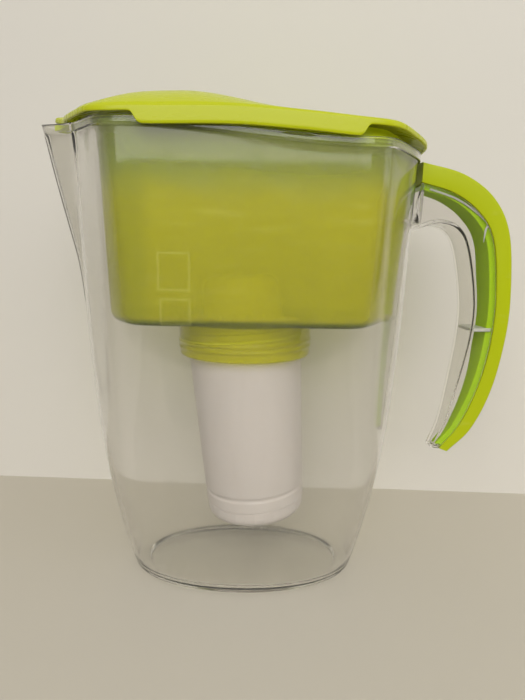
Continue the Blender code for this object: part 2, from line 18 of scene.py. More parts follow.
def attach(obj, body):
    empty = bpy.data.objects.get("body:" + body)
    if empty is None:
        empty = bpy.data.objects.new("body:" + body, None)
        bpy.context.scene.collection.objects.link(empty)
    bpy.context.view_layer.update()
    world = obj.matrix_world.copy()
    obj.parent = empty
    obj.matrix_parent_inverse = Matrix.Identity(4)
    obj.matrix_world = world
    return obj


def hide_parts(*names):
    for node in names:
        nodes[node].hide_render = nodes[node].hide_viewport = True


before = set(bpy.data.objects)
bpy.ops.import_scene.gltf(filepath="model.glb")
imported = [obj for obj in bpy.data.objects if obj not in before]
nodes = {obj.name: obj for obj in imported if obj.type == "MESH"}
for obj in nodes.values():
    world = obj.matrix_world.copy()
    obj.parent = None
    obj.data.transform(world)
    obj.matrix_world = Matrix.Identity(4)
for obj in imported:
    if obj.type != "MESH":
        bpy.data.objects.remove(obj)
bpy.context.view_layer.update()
MM = 0.001

# %% [markdown]
# Every surface here is a grid of points: rows run along the piece and columns run around it. A mesh could be
# made by spinning a drawn profile or by extruding faces, but a grid that is worked out as one array can
# follow an oval that changes shape with height, and its fineness is a single number.

# %% From a grid of points to a mesh


def signed_volume(points, faces):
    """Sum over the faces, split into triangles from their first corner, of a . (b x c) / 6."""
    total = 0.0
    for k in range(1, faces.shape[1] - 1):
        a, b, c = points[faces[:, 0]], points[faces[:, k]], points[faces[:, k + 1]]
        total += np.einsum("ij,ij->i", a, np.cross(b, c)).sum() / 6
    return total


def grid_faces(rows, columns):
    """Quads between neighbouring rows. The last column joins the first."""
    low = np.arange(rows * columns).reshape(rows, columns)
    right = np.roll(low, -1, axis=1)
    quads = np.stack([low[:-1], right[:-1], right[1:], low[1:]], axis=-1)
    return quads.reshape(-1, 4)


def fan_faces(ring, pole, forward):
    """Triangles between a ring of point numbers and one pole, running with the ring or against it."""
    after = np.roll(ring, -1)
    centre = np.full_like(ring, pole)
    first, second = (ring, after) if forward else (after, ring)
    return np.stack([centre, first, second], axis=-1)


def smooth_mesh(name, points, faces, sharp):
    """A smooth mesh that stays crisp where two faces meet at more than the sharp angle, in degrees."""
    mesh = bpy.data.meshes.new(name)
    mesh.from_pydata(points, [], faces)
    mesh.validate()
    mesh.shade_smooth()
    mesh.set_sharp_from_angle(angle=math.radians(sharp))
    return mesh


def outward_mesh(name, points, quads, triangles, sharp):
    """A mesh whose faces point outwards: all are turned round together if its volume comes out negative."""
    if signed_volume(points, quads) + signed_volume(points, triangles) < 0:
        quads, triangles = quads[:, ::-1], triangles[:, ::-1]
    return smooth_mesh(name, points, quads.tolist() + triangles.tolist(), sharp)


def closed_skin(name, grid, sharp=40.0):
    """A closed solid from a grid of rings. The first and the last ring are closed to their own middles."""
    rows, columns, _ = grid.shape
    points = np.vstack([grid.reshape(-1, 3), grid[0].mean(axis=0), grid[-1].mean(axis=0)])
    first = np.arange(columns)
    last = first + (rows - 1) * columns
    fans = np.vstack([fan_faces(first, rows * columns, False), fan_faces(last, rows * columns + 1, True)])
    return outward_mesh(name, points, grid_faces(rows, columns), fans, sharp)


def ring_skin(name, grid, sharp=40.0):
    """A closed solid with a hole through it, from a grid of rings whose last ring joins the first."""
    rows, columns, _ = grid.shape
    faces = grid_faces(rows + 1, columns) % (rows * columns)
    return outward_mesh(name, grid.reshape(-1, 3), faces, np.zeros((0, 3), int), sharp)


def place(name, mesh, finish, body, slot, *stands_for):
    """Show a mesh as a piece of the jug: its finish, the body it rides on, and the nodes it stands for."""
    piece = bpy.data.objects.new(name, mesh)
    bpy.context.scene.collection.objects.link(piece)
    mesh.materials.append(finish)
    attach(piece, body)
    if stands_for:
        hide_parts(*stands_for)
    print(f"{name}: {len(mesh.polygons)} faces, on {body}")


def refinish(name, finish):
    """Give a CAD node that stays in view its own finish."""
    nodes[name].data.materials.clear()
    nodes[name].data.materials.append(finish)


# %% [markdown]
# A finish is a small web of shader nodes. Written node by node it is hard to read, so a socket is wrapped
# in a class with arithmetic: `0.3 + 0.1 * grain` adds the Math nodes itself. Colours go through Mix nodes,
# because a Math node would turn a colour grey.

# %% Shader sockets with arithmetic


class Value:
    """One output socket. Sums and products of values add Math nodes."""

    def __init__(self, web, socket):
        self.web = web
        self.socket = socket

    def math(self, operation, first, second):
        return self.web.node("ShaderNodeMath", {"operation": operation}, {0: first, 1: second})

    def __add__(self, other):
        return self.math("ADD", self, other)

    def __sub__(self, other):
        return self.math("SUBTRACT", self, other)

    def __mul__(self, other):
        return self.math("MULTIPLY", self, other)

    def __radd__(self, other):
        return self.math("ADD", other, self)

    def __rsub__(self, other):
        return self.math("SUBTRACT", other, self)

    def __rmul__(self, other):
        return self.math("MULTIPLY", other, self)


class Web:
    """The nodes of one material."""

    def __init__(self, name):
        self.material = bpy.data.materials.new(name)
        self.material.use_nodes = True
        self.tree = self.material.node_tree
        self.tree.nodes.clear()
        self.place = self.node("ShaderNodeTexCoord", {}, {}, "Object")

    def node(self, kind, settings, values, output=0):
        """Make a node, set its settings, then give each named socket a number, a colour or a link."""
        made = self.tree.nodes.new(kind)
        for key, value in settings.items():
            setattr(made, key, value)
        for key, value in values.items():
            if isinstance(value, Value):
                self.tree.links.new(value.socket, made.inputs[key])
            elif isinstance(value, tuple) and len(value) == 3 and made.inputs[key].type == "RGBA":
                made.inputs[key].default_value = (*value, 1.0)
            else:
                made.inputs[key].default_value = value
        return Value(self, made.outputs[output])

    def noise(self, scale, detail=3.0, stretch=(1.0, 1.0, 1.0), roughness=0.5):
        """Cloudy grey from 0 to 1. A stretch above 1 makes the pattern finer along that axis."""
        moved = self.node("ShaderNodeMapping", {}, {"Vector": self.place, "Scale": stretch})
        return self.node("ShaderNodeTexNoise", {}, {"Vector": moved, "Scale": scale, "Detail": detail,
                                                    "Roughness": roughness})

    def mask(self, value, low, high):
        """0 below low, 1 above high, and an eased step between them. Low may be above high."""
        return self.node("ShaderNodeMapRange", {"interpolation_type": "SMOOTHSTEP"},
                         {"Value": value, "From Min": low, "From Max": high})

    def frame(self, across, up, left, right, low, high, soft):
        """1 along the outline of a rectangle and 0 elsewhere: the rectangle less a smaller one inside it."""
        def between(value, first, last):
            return self.mask(value, first - soft, first) * self.mask(value, last + soft, last)

        def filled(inset):
            sides = between(across, left + inset, right - inset)
            return sides * between(up, low + inset, high - inset)

        return filled(0.0) - filled(2 * soft)

    def blend(self, factor, first, second):
        """The first colour at factor 0, the second at 1."""
        return self.node("ShaderNodeMix", {"data_type": "RGBA"}, {0: factor, 6: first, 7: second}, 2)

    def axis(self, name):
        """The piece's own X, Y or Z in metres."""
        return self.node("ShaderNodeSeparateXYZ", {}, {0: self.place}, name)

    def bump(self, height, strength, distance):
        """A normal tilted by the slope of a height."""
        return self.node("ShaderNodeBump", {}, {"Height": height, "Strength": strength, "Distance": distance})

    def principled(self, **values):
        """The Principled shader. An underscore in a name stands for the space in the socket's name."""
        named = {key.replace("_", " "): value for key, value in values.items()}
        return self.node("ShaderNodeBsdfPrincipled", {}, named)

    def finish(self, shader):
        """Join the shader to the output and give back the whole material."""
        end = self.tree.nodes.new("ShaderNodeOutputMaterial")
        self.tree.links.new(shader.socket, end.inputs["Surface"])
        return self.material

    def lit_through(self, shader, tint):
        """Let lamps shine through a clear shader: rays from lamps meet a plain tinted sheet instead."""
        sheet = self.node("ShaderNodeBsdfTransparent", {}, {"Color": tint})
        shadow = self.node("ShaderNodeLightPath", {}, {}, "Is Shadow Ray")
        return self.node("ShaderNodeMixShader", {}, {0: shadow, 1: shader, 2: sheet})


# %% [markdown]
# The clear plastic is injection moulded. Close up it is never quite flat: it has faint flow waves, fine
# scuffs from washing, and dried water marks that are a little duller. A perfect glass shader would look like
# thin air here, so small changes of roughness and a slow bump are what make the wall visible.

# %% Clear plastic


def clear_plastic(name, waves, marks, index, clearness, thick_from):
    """Clear plastic. Beyond thick_from along -X, in the spout's beak, the walls are thicker and greyer."""
    web = Web(name)
    thick = web.mask(web.axis("X"), thick_from, thick_from - 0.010)
    flow = web.noise(14.0, 2.0, (1.0, 1.0, 0.35))
    cloudy = web.noise(45.0, 5.0, (1.0, 1.0, 0.3), 0.62)
    specks = web.noise(420.0, 2.0)
    runs = web.noise(130.0, 3.0, (1.0, 1.0, 0.06))
    dull = web.mask(cloudy, 0.5, 0.78)
    scuffs = web.mask(specks, 0.66, 0.74) + 0.6 * web.mask(runs, 0.62, 0.75)
    height = waves * flow + 0.012 * scuffs + 0.01 * cloudy
    colour = web.blend(dull * 0.8, (0.925, 0.917, 0.903), (0.88, 0.872, 0.853))
    colour = web.blend(thick, colour, (0.83, 0.82, 0.785))
    shader = web.principled(Base_Color=colour, Roughness=0.06 + marks * dull + 0.10 * scuffs,
                            IOR=index, Transmission_Weight=clearness, Normal=web.bump(height, 0.35, 0.001))
    return web.finish(web.lit_through(shader, (0.93, 0.93, 0.91)))


BEAK_THICK_FROM = -0.078
NOWHERE = -0.2  # further along -X than any piece
jug_clear = clear_plastic("jug_clear", 0.5, 0.07, 1.46, 0.985, BEAK_THICK_FROM)
handle_clear = clear_plastic("handle_clear", 0.25, 0.04, 1.22, 0.99, NOWHERE)


def frosted_plastic():
    """The same plastic where it is textured in the mould: pale and milky, as on the handle's rib."""
    web = Web("rib_frosted")
    grain = web.noise(600.0, 2.0)
    colour = web.blend(grain, (0.84, 0.83, 0.79), (0.76, 0.75, 0.70))
    shader = web.principled(Base_Color=colour, Roughness=0.3 + 0.2 * grain, IOR=1.45,
                            Transmission_Weight=0.35, Normal=web.bump(grain, 0.3, 0.0002))
    return web.finish(shader)


rib_frosted = frosted_plastic()
print("clear finishes:", jug_clear.name, handle_clear.name, rib_frosted.name)

# %% [markdown]
# The hopper is the same family of plastic with a yellow-green dye. It takes out nearly all the blue and lets
# red and green through, and it is slightly milky, so things right behind it are sharp and things further
# away are soft. A little plain diffuse colour mixed into the clear shader gives that milkiness.

# %% Tinted plastic
PANELS = ((-39.7, -24.6, 163.5, 181.0), (-38.8, -24.6, 147.0, 159.5))  # left, right, low and high in mm


def tinted_plastic():
    """See-through yellow-green: deeper low down, with a painted reflection and painted shade near the rim,
    painted shade at the floor's edge and at the spout end, and paler streaks of painted reflection.
    """
    web = Web("hopper_tint")
    height = web.axis("Z")
    fog = web.noise(60.0, 4.0, (0.6, 1.0, 1.6))
    # Used as a real bump and as paler streaks that are a painted reflection.
    brushing_and_reflection = web.noise(260.0, 3.0, (0.12, 1.0, 1.0))
    drops = web.noise(320.0, 1.5)
    runs = web.noise(150.0, 3.0, (1.0, 1.0, 0.08))
    # Painted shade: a dark band where the hopper's floor meets its wall.
    floor_edge_shade = web.mask(height, 0.1500, 0.1475) * web.mask(height, 0.1440, 0.1455)
    across = web.axis("X")
    # Painted reflection and painted shade: a greyer, greener band near the rim.
    rim_reflection_and_shade = web.mask(height + 0.010 * fog, 0.208, 0.230)
    # Painted shade: the hopper is darker towards the spout end.
    spout_end_shade = web.mask(across, -0.040, -0.050)
    low = web.mask(height, 0.205, 0.160)
    body = web.blend(0.5 * fog, (0.76, 0.735, 0.007), (0.68, 0.665, 0.010))
    # Painted reflection: paler streaks across the hopper.
    body = web.blend(0.45 * web.mask(brushing_and_reflection, 0.52, 0.70), body, (0.88, 0.86, 0.10))
    body = web.blend(0.6 * low, body, (0.60, 0.575, 0.005))
    # Paints the shade at the spout end.
    body = web.blend(0.4 * spout_end_shade, body, (0.46, 0.49, 0.020))
    # Paints the reflection and shade near the rim.
    body = web.blend(rim_reflection_and_shade * (0.55 + 0.35 * brushing_and_reflection), body, (0.42, 0.52, 0.13))
    # Paints the shade at the floor's edge.
    body = web.blend(0.8 * floor_edge_shade, body, (0.16, 0.22, 0.012))
    upper, lower = [web.frame(across, height, *(side * MM for side in panel), 0.5 * MM) for panel in PANELS]
    body = web.blend(0.45 * (upper + lower), body, (0.88, 0.86, 0.22))
    beads = web.mask(drops, 0.70, 0.76)
    rough = 0.06 + 0.10 * web.mask(fog, 0.4, 0.75) + 0.12 * web.mask(runs, 0.62, 0.74)
    relief = 0.10 * brushing_and_reflection + 0.5 * beads + 0.06 * fog
    shader = web.principled(Base_Color=body, Roughness=rough, IOR=1.40, Transmission_Weight=0.70,
                            Normal=web.bump(relief, 0.35, 0.0006))
    return web.finish(web.lit_through(shader, (0.80, 0.82, 0.16)))


hopper_tint = tinted_plastic()
print("tinted finish:", hopper_tint.name)

# %% [markdown]
# The lid and the handle's cover are opaque lime green with a polished face. Moulded gloss is never uniform:
# it carries a very fine orange-peel, a few wiping marks that follow the long side, and some paler scuffs.
# The part of the cover that is seen through the channel is a darker, matt green.

# %% Lime plastic


def lime_plastic(name, colour, pale, shine, index):
    """Opaque lime green between a full and a pale tone. A lower index makes a weaker gloss."""
    web = Web(name)
    tone = web.noise(22.0, 3.0)
    wiping = web.noise(210.0, 3.0, (0.10, 1.0, 0.5))
    peel = web.noise(900.0, 1.0)
    scuff = web.mask(web.noise(95.0, 4.0, (0.5, 1.0, 1.0), 0.6), 0.60, 0.72)
    base = web.blend(0.35 * tone, colour, pale)
    base = web.blend(0.10 * scuff, base, (0.62, 0.62, 0.20))
    rough = shine + 0.07 * wiping + 0.10 * scuff
    relief = 0.05 * peel + 0.12 * wiping + 0.5 * tone
    shader = web.principled(Base_Color=base, Roughness=rough, IOR=index,
                            Normal=web.bump(relief, 0.25, 0.0004))
    return web.finish(shader)


lid_lime = lime_plastic("lid_lime", (0.48, 0.53, 0.006), (0.52, 0.56, 0.014), 0.24, 1.33)
# Painted light: a brighter copy of the lid's lime, as if lit, for the plug wall and the spout flap.
plug_lime_painted_light = lime_plastic("plug_lime_painted_light", (0.72, 0.84, 0.006), (0.74, 0.86, 0.010), 0.30, 1.30)
land_lime = lime_plastic("land_lime", (0.40, 0.64, 0.004), (0.44, 0.68, 0.006), 0.75, 1.05)
cover_lime = lime_plastic("cover_lime", (0.42, 0.49, 0.003), (0.45, 0.51, 0.006), 0.34, 1.30)
print("lime finishes:", [finish.name for finish in (lid_lime, plug_lime_painted_light, land_lime, cover_lime)])

# %% [markdown]
# The cartridge is satin white polypropylene: light goes a little way into it, so its shading is soft. The
# charge inside is black carbon and amber resin beads, held between two fine screens, and a pale silicone ring
# seals the collar. They show when the cartridge is lifted out or looked at from below. These pieces, and the
# outlet cap with its cut slots, keep the shape that the frame gives them and only get a finish.

# %% White plastic, rubber, screens and the filter charge


def white_plastic():
    """Satin white with a soft cloudy tone and a very fine grain, its base greyed as painted shade. Light goes
    a few millimetres into it.
    """
    web = Web("cartridge_white_painted_shade")
    tone = web.noise(30.0, 3.0, (1.0, 1.0, 0.5))
    grain = web.noise(750.0, 2.0)
    # Painted shade: the white is greyed for the shade under the lid and the hopper.
    colour = web.blend(tone, (0.57, 0.52, 0.485), (0.52, 0.475, 0.44))
    shader = web.principled(Base_Color=colour, Roughness=0.36 + 0.12 * tone, IOR=1.49,
                            Subsurface_Weight=0.25, Subsurface_Radius=(0.004, 0.0035, 0.003),
                            Normal=web.bump(0.15 * grain + 0.4 * tone, 0.25, 0.0004))
    return web.finish(shader)


def grains(name, size, dark, light, shine):
    """Rounded granules: the distance to each cell's middle gives the shape, and a coarser cloud the tone."""
    web = Web(name)
    cells = web.node("ShaderNodeTexVoronoi", {}, {"Vector": web.place, "Scale": 1 / size}, "Distance")
    tone = web.noise(0.4 / size, 2.0)
    colour = web.blend(tone, dark, light)
    shader = web.principled(Base_Color=colour, Roughness=shine + 0.2 * tone,
                            Normal=web.bump(1.0 - cells, 0.9, size * 0.5))
    return web.finish(shader)


def woven_screen():
    """Two sets of fine threads that cross: each is a wave across X or Y."""
    web = Web("screen_weave")
    bands = [web.node("ShaderNodeTexWave", {"bands_direction": way}, {"Vector": web.place, "Scale": 260.0})
             for way in ("X", "Y")]
    threads = bands[0] * bands[1]
    colour = web.blend(threads, (0.50, 0.50, 0.48), (0.86, 0.86, 0.84))
    shader = web.principled(Base_Color=colour, Roughness=0.65 - 0.1 * threads,
                            Normal=web.bump(threads, 0.6, 0.0003))
    return web.finish(shader)


def silicone():
    """Pale matt rubber with a little dust on it."""
    web = Web("seal_silicone")
    dust = web.noise(300.0, 3.0)
    colour = web.blend(dust, (0.74, 0.74, 0.71), (0.64, 0.64, 0.61))
    shader = web.principled(Base_Color=colour, Roughness=0.5 + 0.2 * dust,
                            Normal=web.bump(dust, 0.3, 0.0002))
    return web.finish(shader)


cartridge_white_painted_shade = white_plastic()
weave = woven_screen()
kept = {"carbon_bed": grains("carbon_granules", 1.1 * MM, (0.012, 0.012, 0.012), (0.05, 0.05, 0.05), 0.45),
        "resin_bed": grains("resin_beads", 0.8 * MM, (0.45, 0.25, 0.08), (0.70, 0.48, 0.20), 0.25),
        "inlet_screen": weave, "outlet_screen": weave, "cartridge_seal": silicone(),
        "cartridge_outlet": cartridge_white_painted_shade}
for name, finish in kept.items():
    refinish(name, finish)
print("kept nodes:", sorted(kept))

# %% [markdown]
# All the jug's outlines share one idea: at a given height, how far is the wall from the middle in each
# direction? The answer is a squared oval whose corners are cut by flat faces, and towards the spout the
# larger of that and a V. The body is nearly an ellipse at the foot, where the cuts miss it, and squarer at
# the rim.

# %% Directions around the jug
BODY_HEIGHTS = np.array([0, 10, 22, 48, 78, 107, 145, 190, 233, 250]) * MM
BODY_HALF_LENGTH = np.array([64.5, 67.6, 70.6, 76.2, 80.6, 83.2, 85.6, 87.2, 88.7, 89.0]) * MM
BODY_HALF_DEPTH = np.array([37.0, 39.6, 41.6, 45.0, 47.4, 48.6, 49.8, 51.0, 52.0, 52.3]) * MM
SQUARE_HEIGHTS = np.array([0, 60, 150, 215, 250]) * MM
SQUARES = np.array([2.05, 2.35, 4.5, 6.0, 6.0])
SQUARE_RIM = 6.0
CUT_ANGLE = math.radians(34.4)  # from the long axis to the direction a cut corner faces
CUT_SHARE = 0.809  # a cut corner's distance from the middle as a share of the full corner's
CUT_BLEND = 30.0  # higher makes a crisper edge where a cut meets the oval
PROW_HEIGHTS = np.array([0, 60, 95, 132, 152, 178, 195, 216, 247]) * MM
PROW_REACH = np.array([45.0, 62.0, 79.5, 86.6, 89.2, 92.9, 97.1, 102.2, 109.0]) * MM
PROW_HALF_ANGLE = math.radians(45)
PROW_ROUND = 0.03  # how soft the V's point is, in radians
PROW_FADE_FROM = math.radians(16)
PROW_FADE_OVER = math.radians(20)
PROW_BLEND = 44.0  # higher makes a crisper edge where the V leaves the oval
RIM_X = np.array([-109, -100, -87, -70, -45, 53, 70, 95]) * MM
RIM_Z = np.array([247.0, 244.9, 242.2, 239.6, 239.0, 231.9, 232.1, 232.2]) * MM


def flowing(x, xs, ys):
    """A cubic through the points: between two of them, the one that has the points' mean slopes."""
    slopes = np.gradient(ys, xs)
    x = np.clip(x, xs[0], xs[-1])
    i = np.clip(np.searchsorted(xs, x, side="right") - 1, 0, len(xs) - 2)
    step = xs[i + 1] - xs[i]
    t = (x - xs[i]) / step
    start, end = ys[i], ys[i + 1]
    return (start * (1 + 2 * t) * (1 - t) ** 2 + end * t**2 * (3 - 2 * t)
            + step * t * (1 - t) * (slopes[i] * (1 - t) - slopes[i + 1] * t))


def directions(count, crowded):
    """Angles around the jug, counterclockwise from the handle, closer together near the crowded ones.
    Each crowded angle is (degrees, width in degrees, extra share): its extra density is a bell curve."""
    fine = np.linspace(0, 360, 7201)
    density = np.ones_like(fine)
    for middle, width, extra in crowded:
        density += extra * np.exp(-(((fine - middle) / width) ** 2))
    travelled = np.concatenate([[0], np.cumsum((density[1:] + density[:-1]) / 2)])
    wanted = np.linspace(0, travelled[-1], count, endpoint=False)
    return np.radians(np.interp(wanted, travelled, fine))


def oval(angles, half_length, half_depth, squareness):
    """Distance to a squared oval: (|cos/a|^n + |sin/b|^n)^(-1/n)."""
    along = np.abs(np.cos(angles) / half_length) ** squareness
    across = np.abs(np.sin(angles) / half_depth) ** squareness
    return (along + across) ** (-1 / squareness)


def beak(angles, reach):
    """Distance to a V that points to -X: reach sin(45) / sin(45 + angle off the axis), fading behind."""
    off_axis = np.sqrt((angles - math.pi) ** 2 + PROW_ROUND**2) - PROW_ROUND
    fade = np.clip((off_axis - PROW_FADE_FROM) / PROW_FADE_OVER, 0, 1)
    spread = PROW_HALF_ANGLE + np.minimum(off_axis, PROW_HALF_ANGLE)
    return reach * math.sin(PROW_HALF_ANGLE) / np.sin(spread) * (1 - 0.6 * fade)


def larger(first, second):
    """The larger of two distances, eased where they cross: (a^n + b^n)^(1/n)."""
    top = np.maximum(first, second)
    return top * ((first / top) ** PROW_BLEND + (second / top) ** PROW_BLEND) ** (1 / PROW_BLEND)


def smaller(first, second):
    """The smaller of two distances, eased where they cross: (a^-n + b^-n)^(-1/n)."""
    low = np.minimum(first, second)
    return low * ((first / low) ** -CUT_BLEND + (second / low) ** -CUT_BLEND) ** (-1 / CUT_BLEND)


def plan(angles, half_length, half_depth, squareness):
    """Distance to a squared oval with cut corners. A cut is a line at distance c from the middle, which is
    c / cos(t - facing) away in direction t. The plan has two mirrors, so t is folded into a quarter."""
    full = half_length * math.cos(CUT_ANGLE) + half_depth * math.sin(CUT_ANGLE)
    quarter = np.arccos(np.abs(np.cos(angles)))
    corner = full * CUT_SHARE / np.cos(quarter - CUT_ANGLE)
    return smaller(oval(angles, half_length, half_depth, squareness), corner)


def body_distance(angles, height, offset=0.0):
    """Distance from the middle to the jug's outer face, moved outwards by the offset."""
    half_length = flowing(height, BODY_HEIGHTS, BODY_HALF_LENGTH) + offset
    half_depth = flowing(height, BODY_HEIGHTS, BODY_HALF_DEPTH) + offset
    wall = plan(angles, half_length, half_depth, np.interp(height, SQUARE_HEIGHTS, SQUARES))
    reach = flowing(height, PROW_HEIGHTS, PROW_REACH) + 1.2 * np.minimum(offset, 0)
    return larger(wall, beak(angles, reach))


def rim_height(x):
    """The rim's top edge, highest at the spout."""
    return flowing(x, RIM_X, RIM_Z)


def ring(angles, distance, height, shift=0.0):
    """Points (distance cos, distance sin, height), the first moved along X by the shift."""
    distance = np.broadcast_to(distance, angles.shape)
    height = np.broadcast_to(height, angles.shape)
    return np.stack([distance * np.cos(angles) + shift, distance * np.sin(angles), height], axis=-1)


def soft_step(x, width):
    """0 well below x = 0 and 1 well above it: 1 / (1 + e^(-x / width))."""
    return 1 / (1 + np.exp(np.clip(-x / width, -60, 60)))


rim_reach = body_distance(np.radians([0.0, 90.0]), np.array(235 * MM))
print("from the middle to the wall near the rim, to the handle and to the side:", rim_reach.round(4))

# %% [markdown]
# The body is one shell. Its rings start under the foot, climb the outer face, turn over the rim and come down
# the inner face to the floor, so the wall is a true 2.2 mm thick and closed. The foot stands on a narrow
# ring with a shallow hollow inside it, which is what draws the dark oval line on the table.

# %% Jug body
WALL = 2.2 * MM
BAND = 4.4 * MM
BAND_STEP = 1.0 * MM
FLOOR = 2.6 * MM
CATCH = (17.5 * MM, 31.0 * MM)  # the lid's catch on the rim band, from X to X, on both long sides
UPPER = 200 * MM  # above this height the rings lean with the rim
FLOOR_CORNER = 5.5 * MM


def catch_relief(angles, distance, below_rim):
    """How far the catch stands out: a raised outline with soft edges on the rim band."""
    x = distance * np.cos(angles)
    middle, half = sum(CATCH) / 2, (CATCH[1] - CATCH[0]) / 2
    across = np.abs(x - middle) - half
    inside = soft_step(-across, 0.18 * MM)
    hollow = soft_step(-across - 0.9 * MM, 0.15 * MM) * (below_rim > 1.2 * MM) * (below_rim < 3.0 * MM)
    below_top = np.clip((below_rim - 0.4 * MM) / (0.3 * MM), 0, 1)
    above_foot = np.clip((3.9 * MM - below_rim) / (0.3 * MM), 0, 1)
    return 0.45 * MM * below_top * above_foot * (inside - 0.8 * hollow)


def jug_mesh():
    """Rings at (distance, height): foot, outer face, rim band, rim, inner face, rounded corner, floor."""
    around = directions(420, ((180, 12, 5.0), (158, 4, 2.0), (202, 4, 2.0)))
    foot = body_distance(around, np.array(0.0))
    top = body_distance(around, np.array(236 * MM), BAND_STEP)
    rim = rim_height(top * np.cos(around))
    rows = [ring(around, foot * share, z * MM) for share, z in
            ((0.3, 0.9), (0.84, 0.9), (0.857, 0.75), (0.868, 0.3), (0.876, 0.0), (0.945, 0.0), (0.962, 0.12))]
    rows.append(ring(around, foot * 0.978, 0.4 * MM))
    for z in np.concatenate([[1.2, 2.5], np.linspace(4.5, 200, 46)]) * MM:
        rows.append(ring(around, body_distance(around, np.full_like(around, z)), z))
    under = rim - BAND
    for share in np.linspace(0.15, 0.97, 7):
        z = UPPER + (under - UPPER) * share
        rows.append(ring(around, body_distance(around, z), z))
    outside = [(0.15, 0.06), (0.35, 0.5), (0.6, 0.94), (0.9, 1.0), (1.4, 1.0), (1.9, 1.0), (2.4, 1.0),
               (2.9, 1.0), (3.4, 1.0), (3.8, 0.98), (4.1, 0.86), (4.3, 0.62), (4.4, 0.25)]
    for up, out in outside:
        z = under + up * MM
        distance = body_distance(around, z, out * MM)
        relief = catch_relief(around, distance, rim - z)
        rows.append(ring(around, distance + relief * (out > 0.9), z))
    inside = [(4.4, -0.55), (4.25, -0.95), (3.9, -1.15), (3.0, -1.2), (0.6, -1.2), (-0.6, -1.5),
              (-2.2, -2.15)]
    for up, out in inside:
        z = under + up * MM
        rows.append(ring(around, body_distance(around, z, out * MM), z))
    for share in (0.7, 0.4, 0.15):
        z = UPPER + (under - UPPER) * share
        rows.append(ring(around, body_distance(around, z, -WALL), z))
    for z in np.linspace(200, 10, 40) * MM:
        rows.append(ring(around, body_distance(around, np.full_like(around, z), -WALL), z))
    base = body_distance(around, np.array(8 * MM), -WALL)
    for turn in np.radians([20, 38, 56, 74, 90]):
        inwards, upwards = 1 - math.cos(turn), 1 - math.sin(turn)
        rows.append(ring(around, base - FLOOR_CORNER * inwards, FLOOR + FLOOR_CORNER * upwards))
    rows.append(ring(around, base * 0.6, FLOOR))
    return closed_skin("jug_shell", np.array(rows), 50.0)


place("jug_shell", jug_mesh(), jug_clear, "jug", "clear_plastic", "jug_body")

# %% [markdown]
# The hopper hangs inside the rim. It is a squared oval tub with a flat floor and a round neck below it, so
# its rings change from circles to ovals on the way up. The neck has a thread bead, and the near wall has two
# small framed panels: low ridges on the inner face, which the tinted finish also draws a little paler.

# %% Hopper
HOPPER_FLOOR = 146 * MM
HOPPER_WALL = 1.8 * MM
HOPPER_SHIFT = 1.8 * MM
NECK_RADIUS = 36.8 * MM
NECK_BOTTOM = 127 * MM
NECK_LIP_RADIUS = 33.6 * MM
HOPPER_HALF_LENGTH = 77.2  # at the floor, in mm, and what it gains up to the rim
HOPPER_LENGTH_GAIN = 6.4
HOPPER_HALF_DEPTH = 44.6
HOPPER_DEPTH_GAIN = 3.0
HOPPER_SQUARE = 5.0
HOPPER_CORNER = 5.0 * MM
HANG_FIT = 0.42 * MM
HOPPER_SPOUT_END = 81.3 * MM
FLOOR_FLARE = 1.6 * MM  # the neck is this much wider where it meets the floor


def hopper_distance(angles, height, inset=0.0):
    """Distance to the tub's wall, which widens from the floor to the rim."""
    share = (height - HOPPER_FLOOR) / (rim_height(0.0) - HOPPER_FLOOR)
    half_length = (HOPPER_HALF_LENGTH + HOPPER_LENGTH_GAIN * share) * MM - inset
    half_depth = (HOPPER_HALF_DEPTH + HOPPER_DEPTH_GAIN * share) * MM - inset
    return plan(angles, half_length, half_depth, HOPPER_SQUARE)


def collar_distance(angles, inset):
    """Distance to a wall that follows the rim inside the jug, cut off flat beside the spout."""
    wall = plan(angles, BODY_HALF_LENGTH[-2] - inset, BODY_HALF_DEPTH[-2] - inset, SQUARE_RIM)
    off_axis = np.abs(angles - math.pi)
    facing = off_axis < math.radians(60)
    end = HOPPER_SPOUT_END - inset + WALL - BAND_STEP
    return smaller(wall, np.where(facing, end / np.cos(np.where(facing, off_axis, 0)), 1.0))


def panel_relief(angles, distance, height):
    """A ridge around each panel on the near wall, 0.5 mm high: a bell curve of the distance to its edge."""
    x = distance * np.cos(angles) + HOPPER_SHIFT
    near = np.sin(angles) < 0
    relief = np.zeros_like(x)
    for panel in PANELS:
        left, right, low, high = (side * MM for side in panel)
        outside = np.maximum(np.maximum(left - x, x - right), np.maximum(low - height, height - high))
        relief = np.maximum(relief, np.exp(-((outside / (0.42 * MM)) ** 2)))
    return 0.5 * MM * relief * near


def thread(angles, height):
    """Height of the neck's thread bead: a bell curve around a line that climbs as it goes round."""
    turn = angles / (2 * math.pi)
    beads = sum(np.exp(-(((height - (z + 3.2 * turn) * MM) / (0.75 * MM)) ** 2)) for z in (129.8, 133.0))
    fade = np.clip(turn / 0.03, 0, 1) * np.clip((1 - turn) / 0.03, 0, 1)
    return 0.75 * MM * beads * fade


